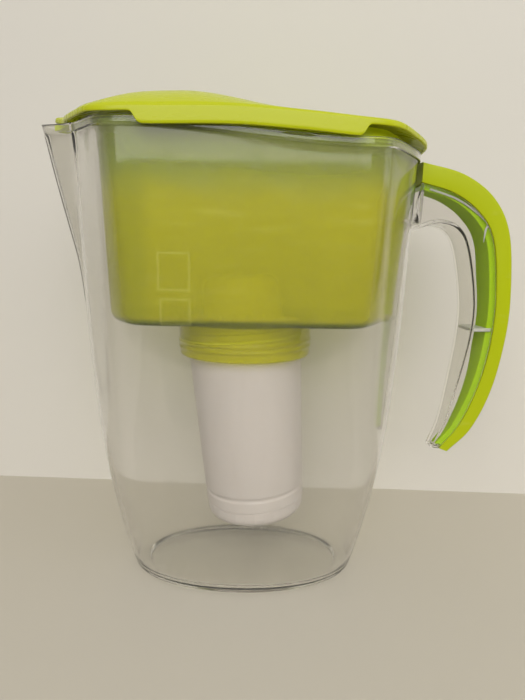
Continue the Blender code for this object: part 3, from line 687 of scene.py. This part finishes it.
def hopper_mesh():
    """Rings at (distance, height): neck, floor, outer face, flange, inner face, inner floor, bore."""
    around = directions(400, ((238, 10, 2.5), (180, 30, 0.5), (122, 8, 0.8)))
    full = np.ones_like(around)
    rows = [ring(around, full * (NECK_LIP_RADIUS + 0.4 * MM), NECK_BOTTOM),
            ring(around, full * (NECK_RADIUS - 1.0 * MM), NECK_BOTTOM)]
    for z in np.linspace(127.5, 144.4, 34) * MM:
        taper = (0.5 - 0.5 * (z - NECK_BOTTOM) / (19 * MM)) * MM
        rows.append(ring(around, NECK_RADIUS - taper + thread(around, z), z))
    rows.append(ring(around, full * (NECK_RADIUS + 0.5 * MM), HOPPER_FLOOR - 0.6 * MM))
    flared = NECK_RADIUS + FLOOR_FLARE
    rows.append(ring(around, full * flared, HOPPER_FLOOR))
    floor = hopper_distance(around, HOPPER_FLOOR)
    for share in (0.35, 0.7, 1.0):
        edge = flared + (floor - HOPPER_CORNER - flared) * share
        rows.append(ring(around, edge, HOPPER_FLOOR, HOPPER_SHIFT * share))
    for turn in np.radians([18, 36, 54, 72]):
        inwards, upwards = HOPPER_CORNER * (1 - math.sin(turn)), HOPPER_CORNER * (1 - math.cos(turn))
        rows.append(ring(around, floor - inwards, HOPPER_FLOOR + upwards, HOPPER_SHIFT))
    outer_heights = np.concatenate([np.arange(151, 183, 0.9), np.linspace(184, 212, 10)]) * MM
    for z in outer_heights:
        rows.append(ring(around, hopper_distance(around, z), z, HOPPER_SHIFT))
    collar = collar_distance(around, WALL - BAND_STEP + HANG_FIT)
    edge = rim_height(collar * np.cos(around))
    waist = np.minimum(hopper_distance(around, 222 * MM), collar - 0.2 * MM)
    flange = ((waist, 7.4, 0.5), (waist * 0.5 + collar * 0.5, 4.4, 0.25), (collar, 2.8, 0.0),
              (collar, 1.4, 0.0), (collar - 0.25 * MM, 0.85, 0.0), (collar - 0.9 * MM, 0.65, 0.0),
              (collar - 1.5 * MM, 0.85, 0.0), (collar - HOPPER_WALL, 1.4, 0.0),
              (collar - HOPPER_WALL, 3.4, 0.0), (waist - HOPPER_WALL, 8.0, 0.5))
    for distance, below, shifted in flange:
        rows.append(ring(around, distance, edge - below * MM, HOPPER_SHIFT * shifted))
    for z in outer_heights[::-1]:
        inner = hopper_distance(around, z, HOPPER_WALL)
        rows.append(ring(around, inner - panel_relief(around, inner, z), z, HOPPER_SHIFT))
    inner_floor = HOPPER_FLOOR + HOPPER_WALL
    inner = hopper_distance(around, HOPPER_FLOOR, HOPPER_WALL)
    small = HOPPER_CORNER - HOPPER_WALL
    for turn in np.radians([72, 48, 24, 0]):
        inwards, upwards = small * (1 - math.sin(turn)), small * (1 - math.cos(turn))
        rows.append(ring(around, inner - inwards, inner_floor + upwards, HOPPER_SHIFT))
    bore = NECK_LIP_RADIUS + 0.6 * MM
    near_bore = bore + 3.0 * MM
    rows.append(ring(around, near_bore + (inner - small - near_bore) * 0.4, inner_floor, HOPPER_SHIFT * 0.4))
    rows.append(ring(around, full * (bore + 1.2 * MM), inner_floor))
    rows.append(ring(around, full * (bore + 0.3 * MM), inner_floor - 0.9 * MM))
    rows.append(ring(around, full * bore, HOPPER_FLOOR - 2.0 * MM))
    rows.append(ring(around, full * bore, NECK_BOTTOM + 1.2 * MM))
    return ring_skin("hopper_tub", np.array(rows), 50.0)


place("hopper_tub", hopper_mesh(), hopper_tint, "hopper", "tinted_plastic", "hopper")

# %% [markdown]
# The lid is a shallow dome, high towards the spout. Along both long sides a skirt hangs outside the rim; at
# the ends it is cut away in a soft step, where fingers lift the lid. The skirt's depth is a smooth function
# of X, and the columns are crowded at the four steps so that they stay crisp.

# %% Lid
LID_EDGE_X = np.array([-103, -92, -67, -45, 0, 26, 57, 70, 95]) * MM
LID_EDGE_Z = np.array([248.2, 244.2, 240.0, 239.9, 240.2, 238.6, 236.0, 235.4, 234.2]) * MM
LID_OVERHANG = 3.4 * MM
TONGUE_REACH = 101.5 * MM
LID_BAND = 2.6 * MM
LID_WALL = 1.8 * MM
CROWN_HIGH = 14.4  # at the spout end, in mm, and how much lower it is at the handle
CROWN_DROP = 9.8
SKIRT_DEPTH = 5.3 * MM
SKIRT_STEPS = (-46.6 * MM, 52.8 * MM)
STEP_WIDTH = 0.75 * MM


def lid_edge(x):
    """Height of the lid's outer edge."""
    return flowing(x, LID_EDGE_X, LID_EDGE_Z)


def lid_distance(angles):
    """Distance to the lid's outer edge: the rim's plan made 3.4 mm wider, with the tongue over the spout."""
    half_length = BODY_HALF_LENGTH[-2] + LID_OVERHANG
    half_depth = BODY_HALF_DEPTH[-2] + LID_OVERHANG
    return larger(plan(angles, half_length, half_depth, SQUARE_RIM), beak(angles, TONGUE_REACH))


def crown(x):
    """How far the dome stands above its edge: high at the spout end, eased down over the middle 60 mm."""
    share = np.clip((x + 30 * MM) / (60 * MM), 0, 1)
    return (CROWN_HIGH - CROWN_DROP * share * share * (3 - 2 * share)) * MM


def skirt(x):
    """How deep the skirt hangs: a soft step down at one X and up again at another."""
    start, end = SKIRT_STEPS
    return SKIRT_DEPTH * soft_step(x - start, STEP_WIDTH) * soft_step(end - x, STEP_WIDTH)


def lid_mesh():
    """Rings from the top's middle to the edge, down the skirt, round its lip and back along the underside.
    The top is edge height + band + crown (1 - share^3.5). Share is 0 in the middle and 1 at the edge."""
    steps = ((130.5, 3.5, 5.0), (229.5, 3.5, 5.0), (46.5, 3.5, 5.0), (313.5, 3.5, 5.0), (180, 14, 2.5))
    around = directions(460, steps)
    edge = lid_distance(around)
    x_edge = edge * np.cos(around)
    rows = []

    def top(share, drop=0.0):
        x = edge * share * np.cos(around)
        height = lid_edge(x) + LID_BAND + crown(x) * (1 - share**3.5)
        rows.append(ring(around, edge * share, height - drop))

    for share in (0.04, 0.12, 0.22, 0.32, 0.42, 0.52, 0.6, 0.67, 0.73, 0.79, 0.84, 0.88, 0.915, 0.94, 0.96,
                  0.975, 0.985):
        top(share)
    lip = lid_edge(x_edge) + LID_BAND
    for out, drop in ((-0.55, 0.12), (-0.22, 0.35), (-0.04, 0.75), (0.0, 1.2)):
        rows.append(ring(around, edge + out * MM, lip - drop * MM))
    low = lid_edge(x_edge) - skirt(x_edge)
    for share in (0.3, 0.6, 0.85):
        rows.append(ring(around, edge, (lip - 1.2 * MM) * (1 - share) + (low + 0.4 * MM) * share))
    for out, up in ((-0.05, 0.25), (-0.25, 0.05), (-0.6, 0.0), (-1.1, 0.0), (-1.5, 0.08), (-1.72, 0.3)):
        rows.append(ring(around, edge + out * MM, low + up * MM))
    under = lip - LID_WALL
    bottom = np.minimum(low + 0.5 * MM, under - 0.15 * MM)
    rows.append(ring(around, edge - 1.8 * MM, bottom))
    rows.append(ring(around, edge - 1.8 * MM, np.minimum((bottom + under) / 2, under - 0.1 * MM)))
    rows.append(ring(around, edge - 2.2 * MM, under))
    for share in (0.93, 0.88, 0.8, 0.7, 0.58, 0.45, 0.3, 0.15, 0.05):
        top(share, LID_WALL)
    return closed_skin("lid_dome", np.array(rows), 60.0)


def plug_mesh():
    """A thin wall that follows the hopper's collar: a closed loop of rings, out and up, then in and down."""
    around = directions(320, ((180, 40, 0.6),))
    outside = collar_distance(around, WALL - BAND_STEP + HANG_FIT + HOPPER_WALL + 0.6 * MM)
    x = outside * np.cos(around)
    high = lid_edge(x) + LID_BAND - LID_WALL - 0.3 * MM
    low = rim_height(x) - 2.2 * MM
    rows = []
    for out, share in ((-0.35, 0.0), (-0.08, 0.05), (0.0, 0.12), (0.0, 0.5), (0.0, 0.88), (-0.1, 1.0),
                       (-1.5, 1.0), (-1.6, 0.88), (-1.6, 0.5), (-1.6, 0.12), (-1.52, 0.05), (-1.25, 0.0)):
        rows.append(ring(around, outside + out * MM, low + (high - low) * share))
    return ring_skin("lid_plug_wall", np.array(rows), 50.0)


def flap_mesh():
    """The lid's spout flap: a triangle between the walls of the spout, carried upwards and scaled a little
    about its middle at each height."""
    corners = np.array([(-84.0, -15.5), (-84.0, 15.5), (-101.5, 0.0), (-84.0, -15.5)]) * MM
    where = np.linspace(0, 3, 48, endpoint=False)
    outline = np.column_stack([np.interp(where, range(4), side) for side in corners.T])
    middle = outline.mean(axis=0)
    rows = []
    for size, z in ((0.94, 243.0), (0.99, 243.15), (1.0, 243.6), (1.0, 246.0), (0.96, 247.4)):
        scaled = middle + (outline - middle) * size
        rows.append(np.column_stack([scaled, np.full(len(outline), z * MM)]))
    return closed_skin("lid_spout_flap", np.array(rows), 40.0)


# The flap and the plug wall wear the lid's lime with painted light.
place("lid_spout_flap", flap_mesh(), plug_lime_painted_light, "lid", "lime_plastic")
place("lid_dome", lid_mesh(), lid_lime, "lid", "lime_plastic", "lid_shell")
place("lid_plug_wall", plug_mesh(), plug_lime_painted_light, "lid", "lime_plastic", "lid_plug")

# %% [markdown]
# The handle is a clear channel with a lime green cover over its open side. Three lines in the XZ plane give
# its shape: the grip, the line where cover and channel meet, and the back of the cover. A cross-section is
# carried along them, its points measured across from the grip line and sideways from the middle.

# %% Handle
HANDLE_OUTER = np.array([(90.6, 229.8), (112.8, 224.1), (129.5, 212.5), (139.2, 194.5), (142.9, 165.0),
                         (143.0, 140.0), (139.0, 109.5), (130.4, 85.5), (118.3, 70.9)]) * MM
HANDLE_MIDDLE = np.array([(90.6, 219.2), (107.5, 214.3), (121.5, 205.0), (130.6, 191.0), (134.6, 164.0),
                          (134.9, 140.0), (131.7, 114.0), (123.5, 88.5), (113.2, 72.8)]) * MM
HANDLE_GRIP = np.array([(90.6, 196.0), (101.0, 199.0), (111.0, 196.0), (117.2, 185.5), (122.3, 160.0),
                        (122.4, 140.0), (118.6, 113.0), (113.8, 88.0), (108.2, 73.4)]) * MM
HANDLE_HALF_WIDTH = np.array([12.6, 12.4, 12.2, 12.0, 12.0, 11.2, 9.0, 6.8, 5.2]) * MM
CHANNEL_WALL = 2.0 * MM
CROSSBAR_AT = 0.61


def along_handle(line, where):
    """Points on a handle line at shares of its length, from the jug (0) to the tip (1)."""
    marks = np.linspace(0, 1, len(line))
    if line.ndim == 1:
        return flowing(where, marks, line)
    return np.stack([flowing(where, marks, line[:, 0]), flowing(where, marks, line[:, 1])], axis=-1)


def corner_arc(side, edge, radius, start, end, count=5):
    """Points of a rounded corner as (deep, off, wide, out): across = deep * depth + off and
    sideways = wide * half width + out. The arc's middle is at side (wide, out) and edge (deep, off), where
    wide is -1 or 1 and deep runs from 0 at the inner line to 1 at the outer one."""
    turns = np.radians(np.linspace(start, end, count))
    (wide, out), (deep, off) = side, edge
    return [(deep, off + radius * math.sin(t), wide, out + radius * math.cos(t)) for t in turns]


def carried(outline, inner, outer, half_width):
    """Points of an outline at every station: from the inner line towards the outer one and to the side."""
    deep, off, wide, out = np.array(outline).T
    span = outer - inner
    depth = np.linalg.norm(span, axis=1, keepdims=True)
    across = deep * depth + off
    point = inner[:, None, :] + across[..., None] * (span / depth)[:, None, :]
    side = wide * half_width[:, None] + out
    return np.stack([point[..., 0], side, point[..., 1]], axis=-1)


def channel_mesh():
    """A U with rounded corners carried along the handle, its open side towards the cover."""
    where = np.linspace(0, 1, 150)
    grip, middle = along_handle(HANDLE_GRIP, where), along_handle(HANDLE_MIDDLE, where)
    width = along_handle(HANDLE_HALF_WIDTH, where)
    t, big, lip, fillet, gap = CHANNEL_WALL, 1.3 * MM, 0.5 * MM, 0.9 * MM, 0.3 * MM
    outline = (corner_arc((-1, big), (0, big), big, 180, 270) + corner_arc((1, -big), (0, big), big, 270, 360)
               + corner_arc((1, -lip), (1, -gap - lip), lip, 0, 90, 4)
               + corner_arc((1, lip - t), (1, -gap - lip), lip, 90, 180, 4)
               + corner_arc((1, -t - fillet), (0, t + fillet), fillet, 0, -90)
               + corner_arc((-1, t + fillet), (0, t + fillet), fillet, -90, -180)
               + corner_arc((-1, t - lip), (1, -gap - lip), lip, 0, 90, 4)
               + corner_arc((-1, lip), (1, -gap - lip), lip, 90, 180, 4))
    grid = carried(outline, grip, middle, width)
    rows, columns, _ = grid.shape
    points = grid.reshape(-1, 3)
    ends = np.stack([np.arange(columns)[::-1], np.arange((rows - 1) * columns, rows * columns)])
    quads = grid_faces(rows, columns)
    if signed_volume(points, quads) < 0:
        quads, ends = quads[:, ::-1], ends[:, ::-1]
    return smooth_mesh("handle_channel", points, quads.tolist() + ends.tolist(), 50.0)


def cover_mesh():
    """A flat strip with rounded edges carried along the handle. Its back bulges by 5% of its thickness."""
    where = np.linspace(0, 1, 150)
    middle, outer = along_handle(HANDLE_MIDDLE, where), along_handle(HANDLE_OUTER, where)
    width = along_handle(HANDLE_HALF_WIDTH, where)
    small, back = 0.5 * MM, 1.1 * MM
    bulge = [(1 - 0.05 * s**2, 0.0, s, 0.0) for s in np.linspace(0.86, -0.86, 15)]
    outline = (corner_arc((-1, small), (0, small), small, 180, 270, 4)
               + corner_arc((1, -small), (0, small), small, 270, 360, 4)
               + corner_arc((1, -back), (0.95, -back), back, 0, 80, 6) + bulge
               + corner_arc((-1, back), (0.95, -back), back, 100, 180, 6))
    grid = carried(outline, middle, outer, width)
    return closed_skin("handle_lime_cover", grid, 50.0)


place("handle_channel", channel_mesh(), handle_clear, "jug", "clear_plastic", "handle_frame")
place("handle_lime_cover", cover_mesh(), cover_lime, "jug", "lime_plastic", "handle_cover")

# %% [markdown]
# Inside the channel stand a wall against the jug, a crossbar that stiffens the grip and a wall at the tip.
# They are thin plates with rounded edges, and their edges catch the light as pale lines. The cover reaches in
# with a flat land, and a bent rib is moulded inside the near wall.

# %% Plates in the handle's channel
HANDLE_RUN = 210 * MM  # about the length of the handle's middle line
PLATE_PLAY = 0.06 * MM
RIB_RADIUS = 0.55 * MM
RIB_SIDE = -9.6 * MM
RIB_LINE = np.array([(95.5, 216.1), (104.0, 213.6), (111.0, 210.9), (119.2, 206.0), (126.0, 200.5),
                     (127.2, 198.2), (126.4, 195.9), (125.9, 189.7)]) * MM


def plate_mesh(name, at, thickness):
    """A plate across the channel: a rounded rectangle at four stations, a little smaller at the outer two."""
    half = thickness / 2 / HANDLE_RUN
    first = min(max(at - half, 0.004), 0.996 - 2 * half)
    where = np.array([0.0, 0.08, 0.92, 1.0]) * 2 * half + first
    grip, middle = along_handle(HANDLE_GRIP, where), along_handle(HANDLE_MIDDLE, where)
    width = along_handle(HANDLE_HALF_WIDTH, where)
    t, r = CHANNEL_WALL + PLATE_PLAY, 0.8 * MM
    open_side = (1, -r - 0.6 * MM)
    outline = (corner_arc((-1, t + r), (0, t + r), r, 180, 270)
               + corner_arc((1, -t - r), (0, t + r), r, 270, 360)
               + corner_arc((1, -t - r), open_side, r, 0, 90)
               + corner_arc((-1, t + r), open_side, r, 90, 180))
    grid = carried(outline, grip, middle, width)
    middle_point = grid.mean(axis=1, keepdims=True)
    scale = np.array([0.985, 1.0, 1.0, 0.985]).reshape(-1, 1, 1)
    return closed_skin(name, middle_point + (grid - middle_point) * scale, 40.0)


def liner_mesh():
    """The cover's locating land: a low flat step that reaches into the channel between its side walls."""
    where = np.linspace(0.012, 0.985, 120)
    grip, middle = along_handle(HANDLE_GRIP, where), along_handle(HANDLE_MIDDLE, where)
    width = along_handle(HANDLE_HALF_WIDTH, where)
    t, deep, r = CHANNEL_WALL + 1.3 * MM, 3.0 * MM, 0.4 * MM
    outline = (corner_arc((-1, t + r), (1, -deep + r), r, 180, 270, 4)
               + corner_arc((1, -t - r), (1, -deep + r), r, 270, 360, 4)
               + [(1, 0.2 * MM, 1, -t), (1, 0.2 * MM, -1, t)])
    return closed_skin("handle_cover_land", carried(outline, grip, middle, width), 50.0)


def rib_mesh():
    """A moulded rib inside the near wall: a rounded bead along a bent line in the XZ plane."""
    where = np.linspace(0, 1, 60)
    path = along_handle(RIB_LINE, where)
    ahead = np.gradient(path, axis=0)
    ahead /= np.linalg.norm(ahead, axis=1, keepdims=True)
    normal = np.stack([-ahead[:, 1], ahead[:, 0]], axis=-1)
    turns = np.linspace(0, 2 * math.pi, 12, endpoint=False)
    radius = RIB_RADIUS * np.minimum(1, 6 * (1 - where) + 0.25)[:, None]
    point = path[:, None, :] + (radius * np.cos(turns))[..., None] * normal[:, None, :]
    side = RIB_SIDE + radius * np.sin(turns)
    return closed_skin("handle_rib", np.stack([point[..., 0], side, point[..., 1]], axis=-1), 60.0)


for plate, at, thickness, finish in (("handle_upper_wall", 0.0, 2.2 * MM, handle_clear),
                                     ("handle_crossbar", CROSSBAR_AT, 2.0 * MM, rib_frosted),
                                     ("handle_tip_wall", 1.0, 1.6 * MM, handle_clear)):
    place(plate, plate_mesh(plate, at, thickness), finish, "jug", "clear_plastic")
place("handle_cover_land", liner_mesh(), land_lime, "jug", "lime_plastic")
place("handle_rib", rib_mesh(), rib_frosted, "jug", "clear_plastic")

# %% [markdown]
# The cartridge is turned: each piece is a profile of radius against height carried around an axis that leans
# slightly in the neck. Small grooves and steps matter more than the overall shape, because the eye reads the
# size of the cartridge from them. The inlet head has a row of slots round its foot, made as shallow recesses.

# %% Cartridge
SEAT = np.array([-1.2, 0.0, 146.0]) * MM
LEAN = math.radians(-4.5)
SLOTS = 18
SLOT_HALF = (1.1, 2.0)  # half a slot's width and height in mm
SLOT_MIDDLE = 1.9  # its middle's height in mm
SLOT_DEPTH = 1.3 * MM
SLOT_EDGE = 0.12  # how soft its edge is, in mm
HEAD_FOOT_RADIUS = 21.8


def leaned(grid):
    """Points of an upright piece turned about Y by the lean and moved to the seat."""
    turn = np.array(Matrix.Rotation(LEAN, 3, "Y"))
    return grid @ turn.T + SEAT


def turned_grid(profile, count=96, relief=None):
    """A profile of (radius, height) in mm carried around Z. Relief adds to the radius at angle and height."""
    radius, height = np.array(profile).T * MM
    around = np.linspace(0, 2 * math.pi, count, endpoint=False)
    distance = np.repeat(radius[:, None], count, axis=1)
    if relief is not None:
        distance = distance + relief(around[None, :], height[:, None])
    return np.stack([distance * np.cos(around), distance * np.sin(around),
                     np.repeat(height[:, None], count, axis=1)], axis=-1)


def rounded(profile, radius, count=4):
    """Each inner point of a profile replaced by a short curve that starts and ends near it, in mm."""
    points = [np.array(p, float) for p in profile]
    made = [points[0]]
    for before, here, after in zip(points, points[1:], points[2:]):
        back, ahead = before - here, after - here
        near = min(radius, 0.45 * np.linalg.norm(back), 0.45 * np.linalg.norm(ahead))
        start = here + back / np.linalg.norm(back) * near
        end = here + ahead / np.linalg.norm(ahead) * near
        for t in np.linspace(0, 1, count):
            made.append((1 - t) ** 2 * start + 2 * t * (1 - t) * here + t**2 * end)
    return [tuple(p) for p in [*made, points[-1]]]


def housing_mesh():
    """The cup: its outer profile downwards, with the seal's groove, then its bore upwards."""
    outer = [(33.0, -5.0), (33.4, -5.4), (33.4, -7.6), (32.5, -7.7), (32.5, -10.3), (33.4, -10.4),
             (33.4, -12.8), (31.5, -14.4), (31.45, -16.0), (31.2, -17.4), (31.2, -18.2), (31.35, -19.6),
             (28.6, -95.0), (28.05, -96.0), (28.0, -97.0), (28.45, -97.9), (28.3, -103.5)]
    inner = [(26.6, -103.5), (26.6, -102.0), (29.7, -14.0), (29.7, -5.4), (30.1, -5.0)]
    profile = rounded(outer, 0.5) + rounded(inner, 0.4)
    return ring_skin("cartridge_cup", leaned(turned_grid(profile)), 45.0)


def slots(angles, height):
    """Recesses around the head's foot: the radius is less where both the arc length and the height lie
    within half a slot, with soft steps at the edges."""
    across = (angles * SLOTS / (2 * math.pi) + 0.5) % 1.0 - 0.5
    arc_length = np.abs(across) * 2 * math.pi * HEAD_FOOT_RADIUS / SLOTS
    wide = soft_step(SLOT_HALF[0] - arc_length, SLOT_EDGE)
    tall = soft_step(SLOT_HALF[1] - np.abs(height / MM - SLOT_MIDDLE), SLOT_EDGE)
    return -SLOT_DEPTH * wide * tall


def head_mesh():
    """The inlet head: dome, tapering side, foot and inside. Only the dome and the side carry the slots."""
    dome = [(0.6, 24.6), (6.0, 24.45), (13.0, 24.0), (17.4, 23.2), (20.3, 20.8), (21.0, 17.0)]
    side = [(21.0 + 0.8 * s, 17.0 - 17.6 * s) for s in np.linspace(0.05, 1, 34)]
    foot = [(23.0, -1.6), (30.8, -3.0), (31.3, -3.5), (31.3, -4.6), (30.6, -4.7)]
    inside = [(19.5, -4.7), (19.4, -2.0), (19.4, 16.0), (17.0, 21.4), (12.0, 22.6), (0.6, 23.0)]
    profile = rounded(dome, 1.5) + side + rounded(foot, 0.5) + rounded(inside, 1.0)
    grid = turned_grid(profile, 288)
    outward = len(rounded(dome, 1.5)) + len(side)
    grid[:outward] = turned_grid(profile[:outward], 288, slots)
    return closed_skin("cartridge_inlet_head", leaned(grid), 50.0)


place("cartridge_cup", housing_mesh(), cartridge_white_painted_shade, "cartridge", "white_plastic", "cartridge_housing")
place("cartridge_inlet_head", head_mesh(), cartridge_white_painted_shade, "cartridge", "white_plastic", "cartridge_head")

# %% [markdown]
# The jug stands on a pale worktop a few centimetres in front of a pale wall. Both are plain and matt; the
# wall matters because it is what shows through the clear plastic. From behind, the wall is clear, so that it
# never stands between the jug and a camera that has moved round it.

# %% Worktop and wall
WALL_AT = 0.100
WALL_TURN = math.radians(2.3)
WALL_TOP = 2.0
STAGE_HALF = 2.0
WORKTOP_FROM = -0.5
WORKTOP_TO = 0.3
WORKTOP_HEIGHT = -0.2 * MM


def stage_plane(name, corners, colour, rough):
    """A flat matt sheet through four corners that shows on the side where they run counterclockwise."""
    web = Web(name)
    tone = web.noise(6.0, 3.0)
    shade = web.blend(tone, colour, tuple(c * 0.97 for c in colour))
    behind = web.node("ShaderNodeNewGeometry", {}, {}, "Backfacing")
    nothing = web.node("ShaderNodeBsdfTransparent", {}, {})
    matt = web.principled(Base_Color=shade, Roughness=rough)
    finish = web.finish(web.node("ShaderNodeMixShader", {}, {0: behind, 1: matt, 2: nothing}))
    mesh = bpy.data.meshes.new(name)
    mesh.from_pydata(corners, [], [(0, 1, 2, 3)])
    mesh.materials.append(finish)
    item = bpy.data.objects.new(name, mesh)
    bpy.context.scene.collection.objects.link(item)


ends = (-STAGE_HALF, STAGE_HALF, STAGE_HALF, -STAGE_HALF)
wall_heights = (-0.01, -0.01, WALL_TOP, WALL_TOP)
wall_corners = [(x, WALL_AT - x * math.tan(WALL_TURN), z) for x, z in zip(ends, wall_heights)]
stage_plane("backdrop", wall_corners, (0.70, 0.67, 0.61), 0.6)
floor_depths = (WORKTOP_FROM, WORKTOP_FROM, WORKTOP_TO, WORKTOP_TO)
floor_corners = [(x, y, WORKTOP_HEIGHT) for x, y in zip(ends, floor_depths)]
stage_plane("worktop", floor_corners, (0.56, 0.52, 0.435), 0.6)
print("wall behind the jug at", WALL_AT, "m")

# %% [markdown]
# The light is plain and soft: a broad lamp high in front, a weaker one from the side, and an even sky. A
# smaller lamp stands low like a window: it mirrors in the upper part of the jug, which lies above the eye's
# level and turns hazy there.

# %% Lights


def lamp(name, place_at, aim, size, power, colour):
    """A rectangular lamp that shines from its place to a point. It doesn't show through clear plastic."""
    light = bpy.data.lights.new(name, "AREA")
    light.shape = "RECTANGLE"
    light.size, light.size_y = size
    light.energy = power
    light.color = colour
    item = bpy.data.objects.new(name, light)
    item.location = place_at
    item.rotation_euler = (Vector(aim) - Vector(place_at)).to_track_quat("-Z", "Y").to_euler()
    item.visible_transmission = False
    bpy.context.scene.collection.objects.link(item)
    print(f"{name}: {power} W")


lamp("broad_lamp", (0.05, -1.35, 1.15), (0, 0, 0.17), (1.7, 0.8), 12.2, (1.0, 0.985, 0.955))
lamp("window_lamp", (-0.05, -1.50, 0.64), (0, 0, 0.17), (1.5, 0.42), 6.8, (1.0, 0.985, 0.97))
lamp("side_lamp", (1.3, -0.6, 0.7), (0, 0, 0.12), (0.8, 0.8), 2.9, (1.0, 0.985, 0.955))


def sky():
    """An even pale sky that darkens below the horizon, as a room does."""
    world = bpy.data.worlds.new("studio")
    bpy.context.scene.world = world
    world.use_nodes = True
    tree = world.node_tree
    background = tree.nodes["Background"]
    background.inputs["Color"].default_value = (1.0, 0.98, 0.95, 1.0)
    direction = tree.nodes.new("ShaderNodeTexCoord")
    parts = tree.nodes.new("ShaderNodeSeparateXYZ")
    tree.links.new(direction.outputs["Generated"], parts.inputs[0])
    level = tree.nodes.new("ShaderNodeMapRange")
    for key, value in (("From Min", 0.0), ("From Max", 0.35), ("To Min", 0.06), ("To Max", 0.56)):
        level.inputs[key].default_value = value
    tree.links.new(parts.outputs["Z"], level.inputs["Value"])
    tree.links.new(level.outputs[0], background.inputs["Strength"])


sky()

# %% [markdown]
# The camera stands a little above the middle of the jug and close to it, and looks slightly down. So near,
# the front of the jug comes out larger than its back, and the foot shows as a wide oval.

# %% Camera
CAMERA_AT = (0.0099, -0.281, 0.177)
LOOKS_DOWN = 9.9  # degrees
LEANS = 1.0  # degrees about the line of sight
SENSOR = 36.0
LENS_SHARE = 500.0 / 700.0  # focal length as a share of the sensor's long side
camera = bpy.data.objects.new("camera", bpy.data.cameras.new("camera"))
bpy.context.scene.collection.objects.link(camera)
camera.data.sensor_width = SENSOR
camera.data.lens = LENS_SHARE * SENSOR
camera.data.clip_start = 0.01
look = Matrix.Rotation(math.radians(90 - LOOKS_DOWN), 4, "X") @ Matrix.Rotation(math.radians(LEANS), 4, "Z")
camera.matrix_world = Matrix.Translation(CAMERA_AT) @ look
print("lens:", round(camera.data.lens, 2), "mm")
bpy.context.scene.camera = camera
bpy.context.scene.view_settings.view_transform = "Standard"
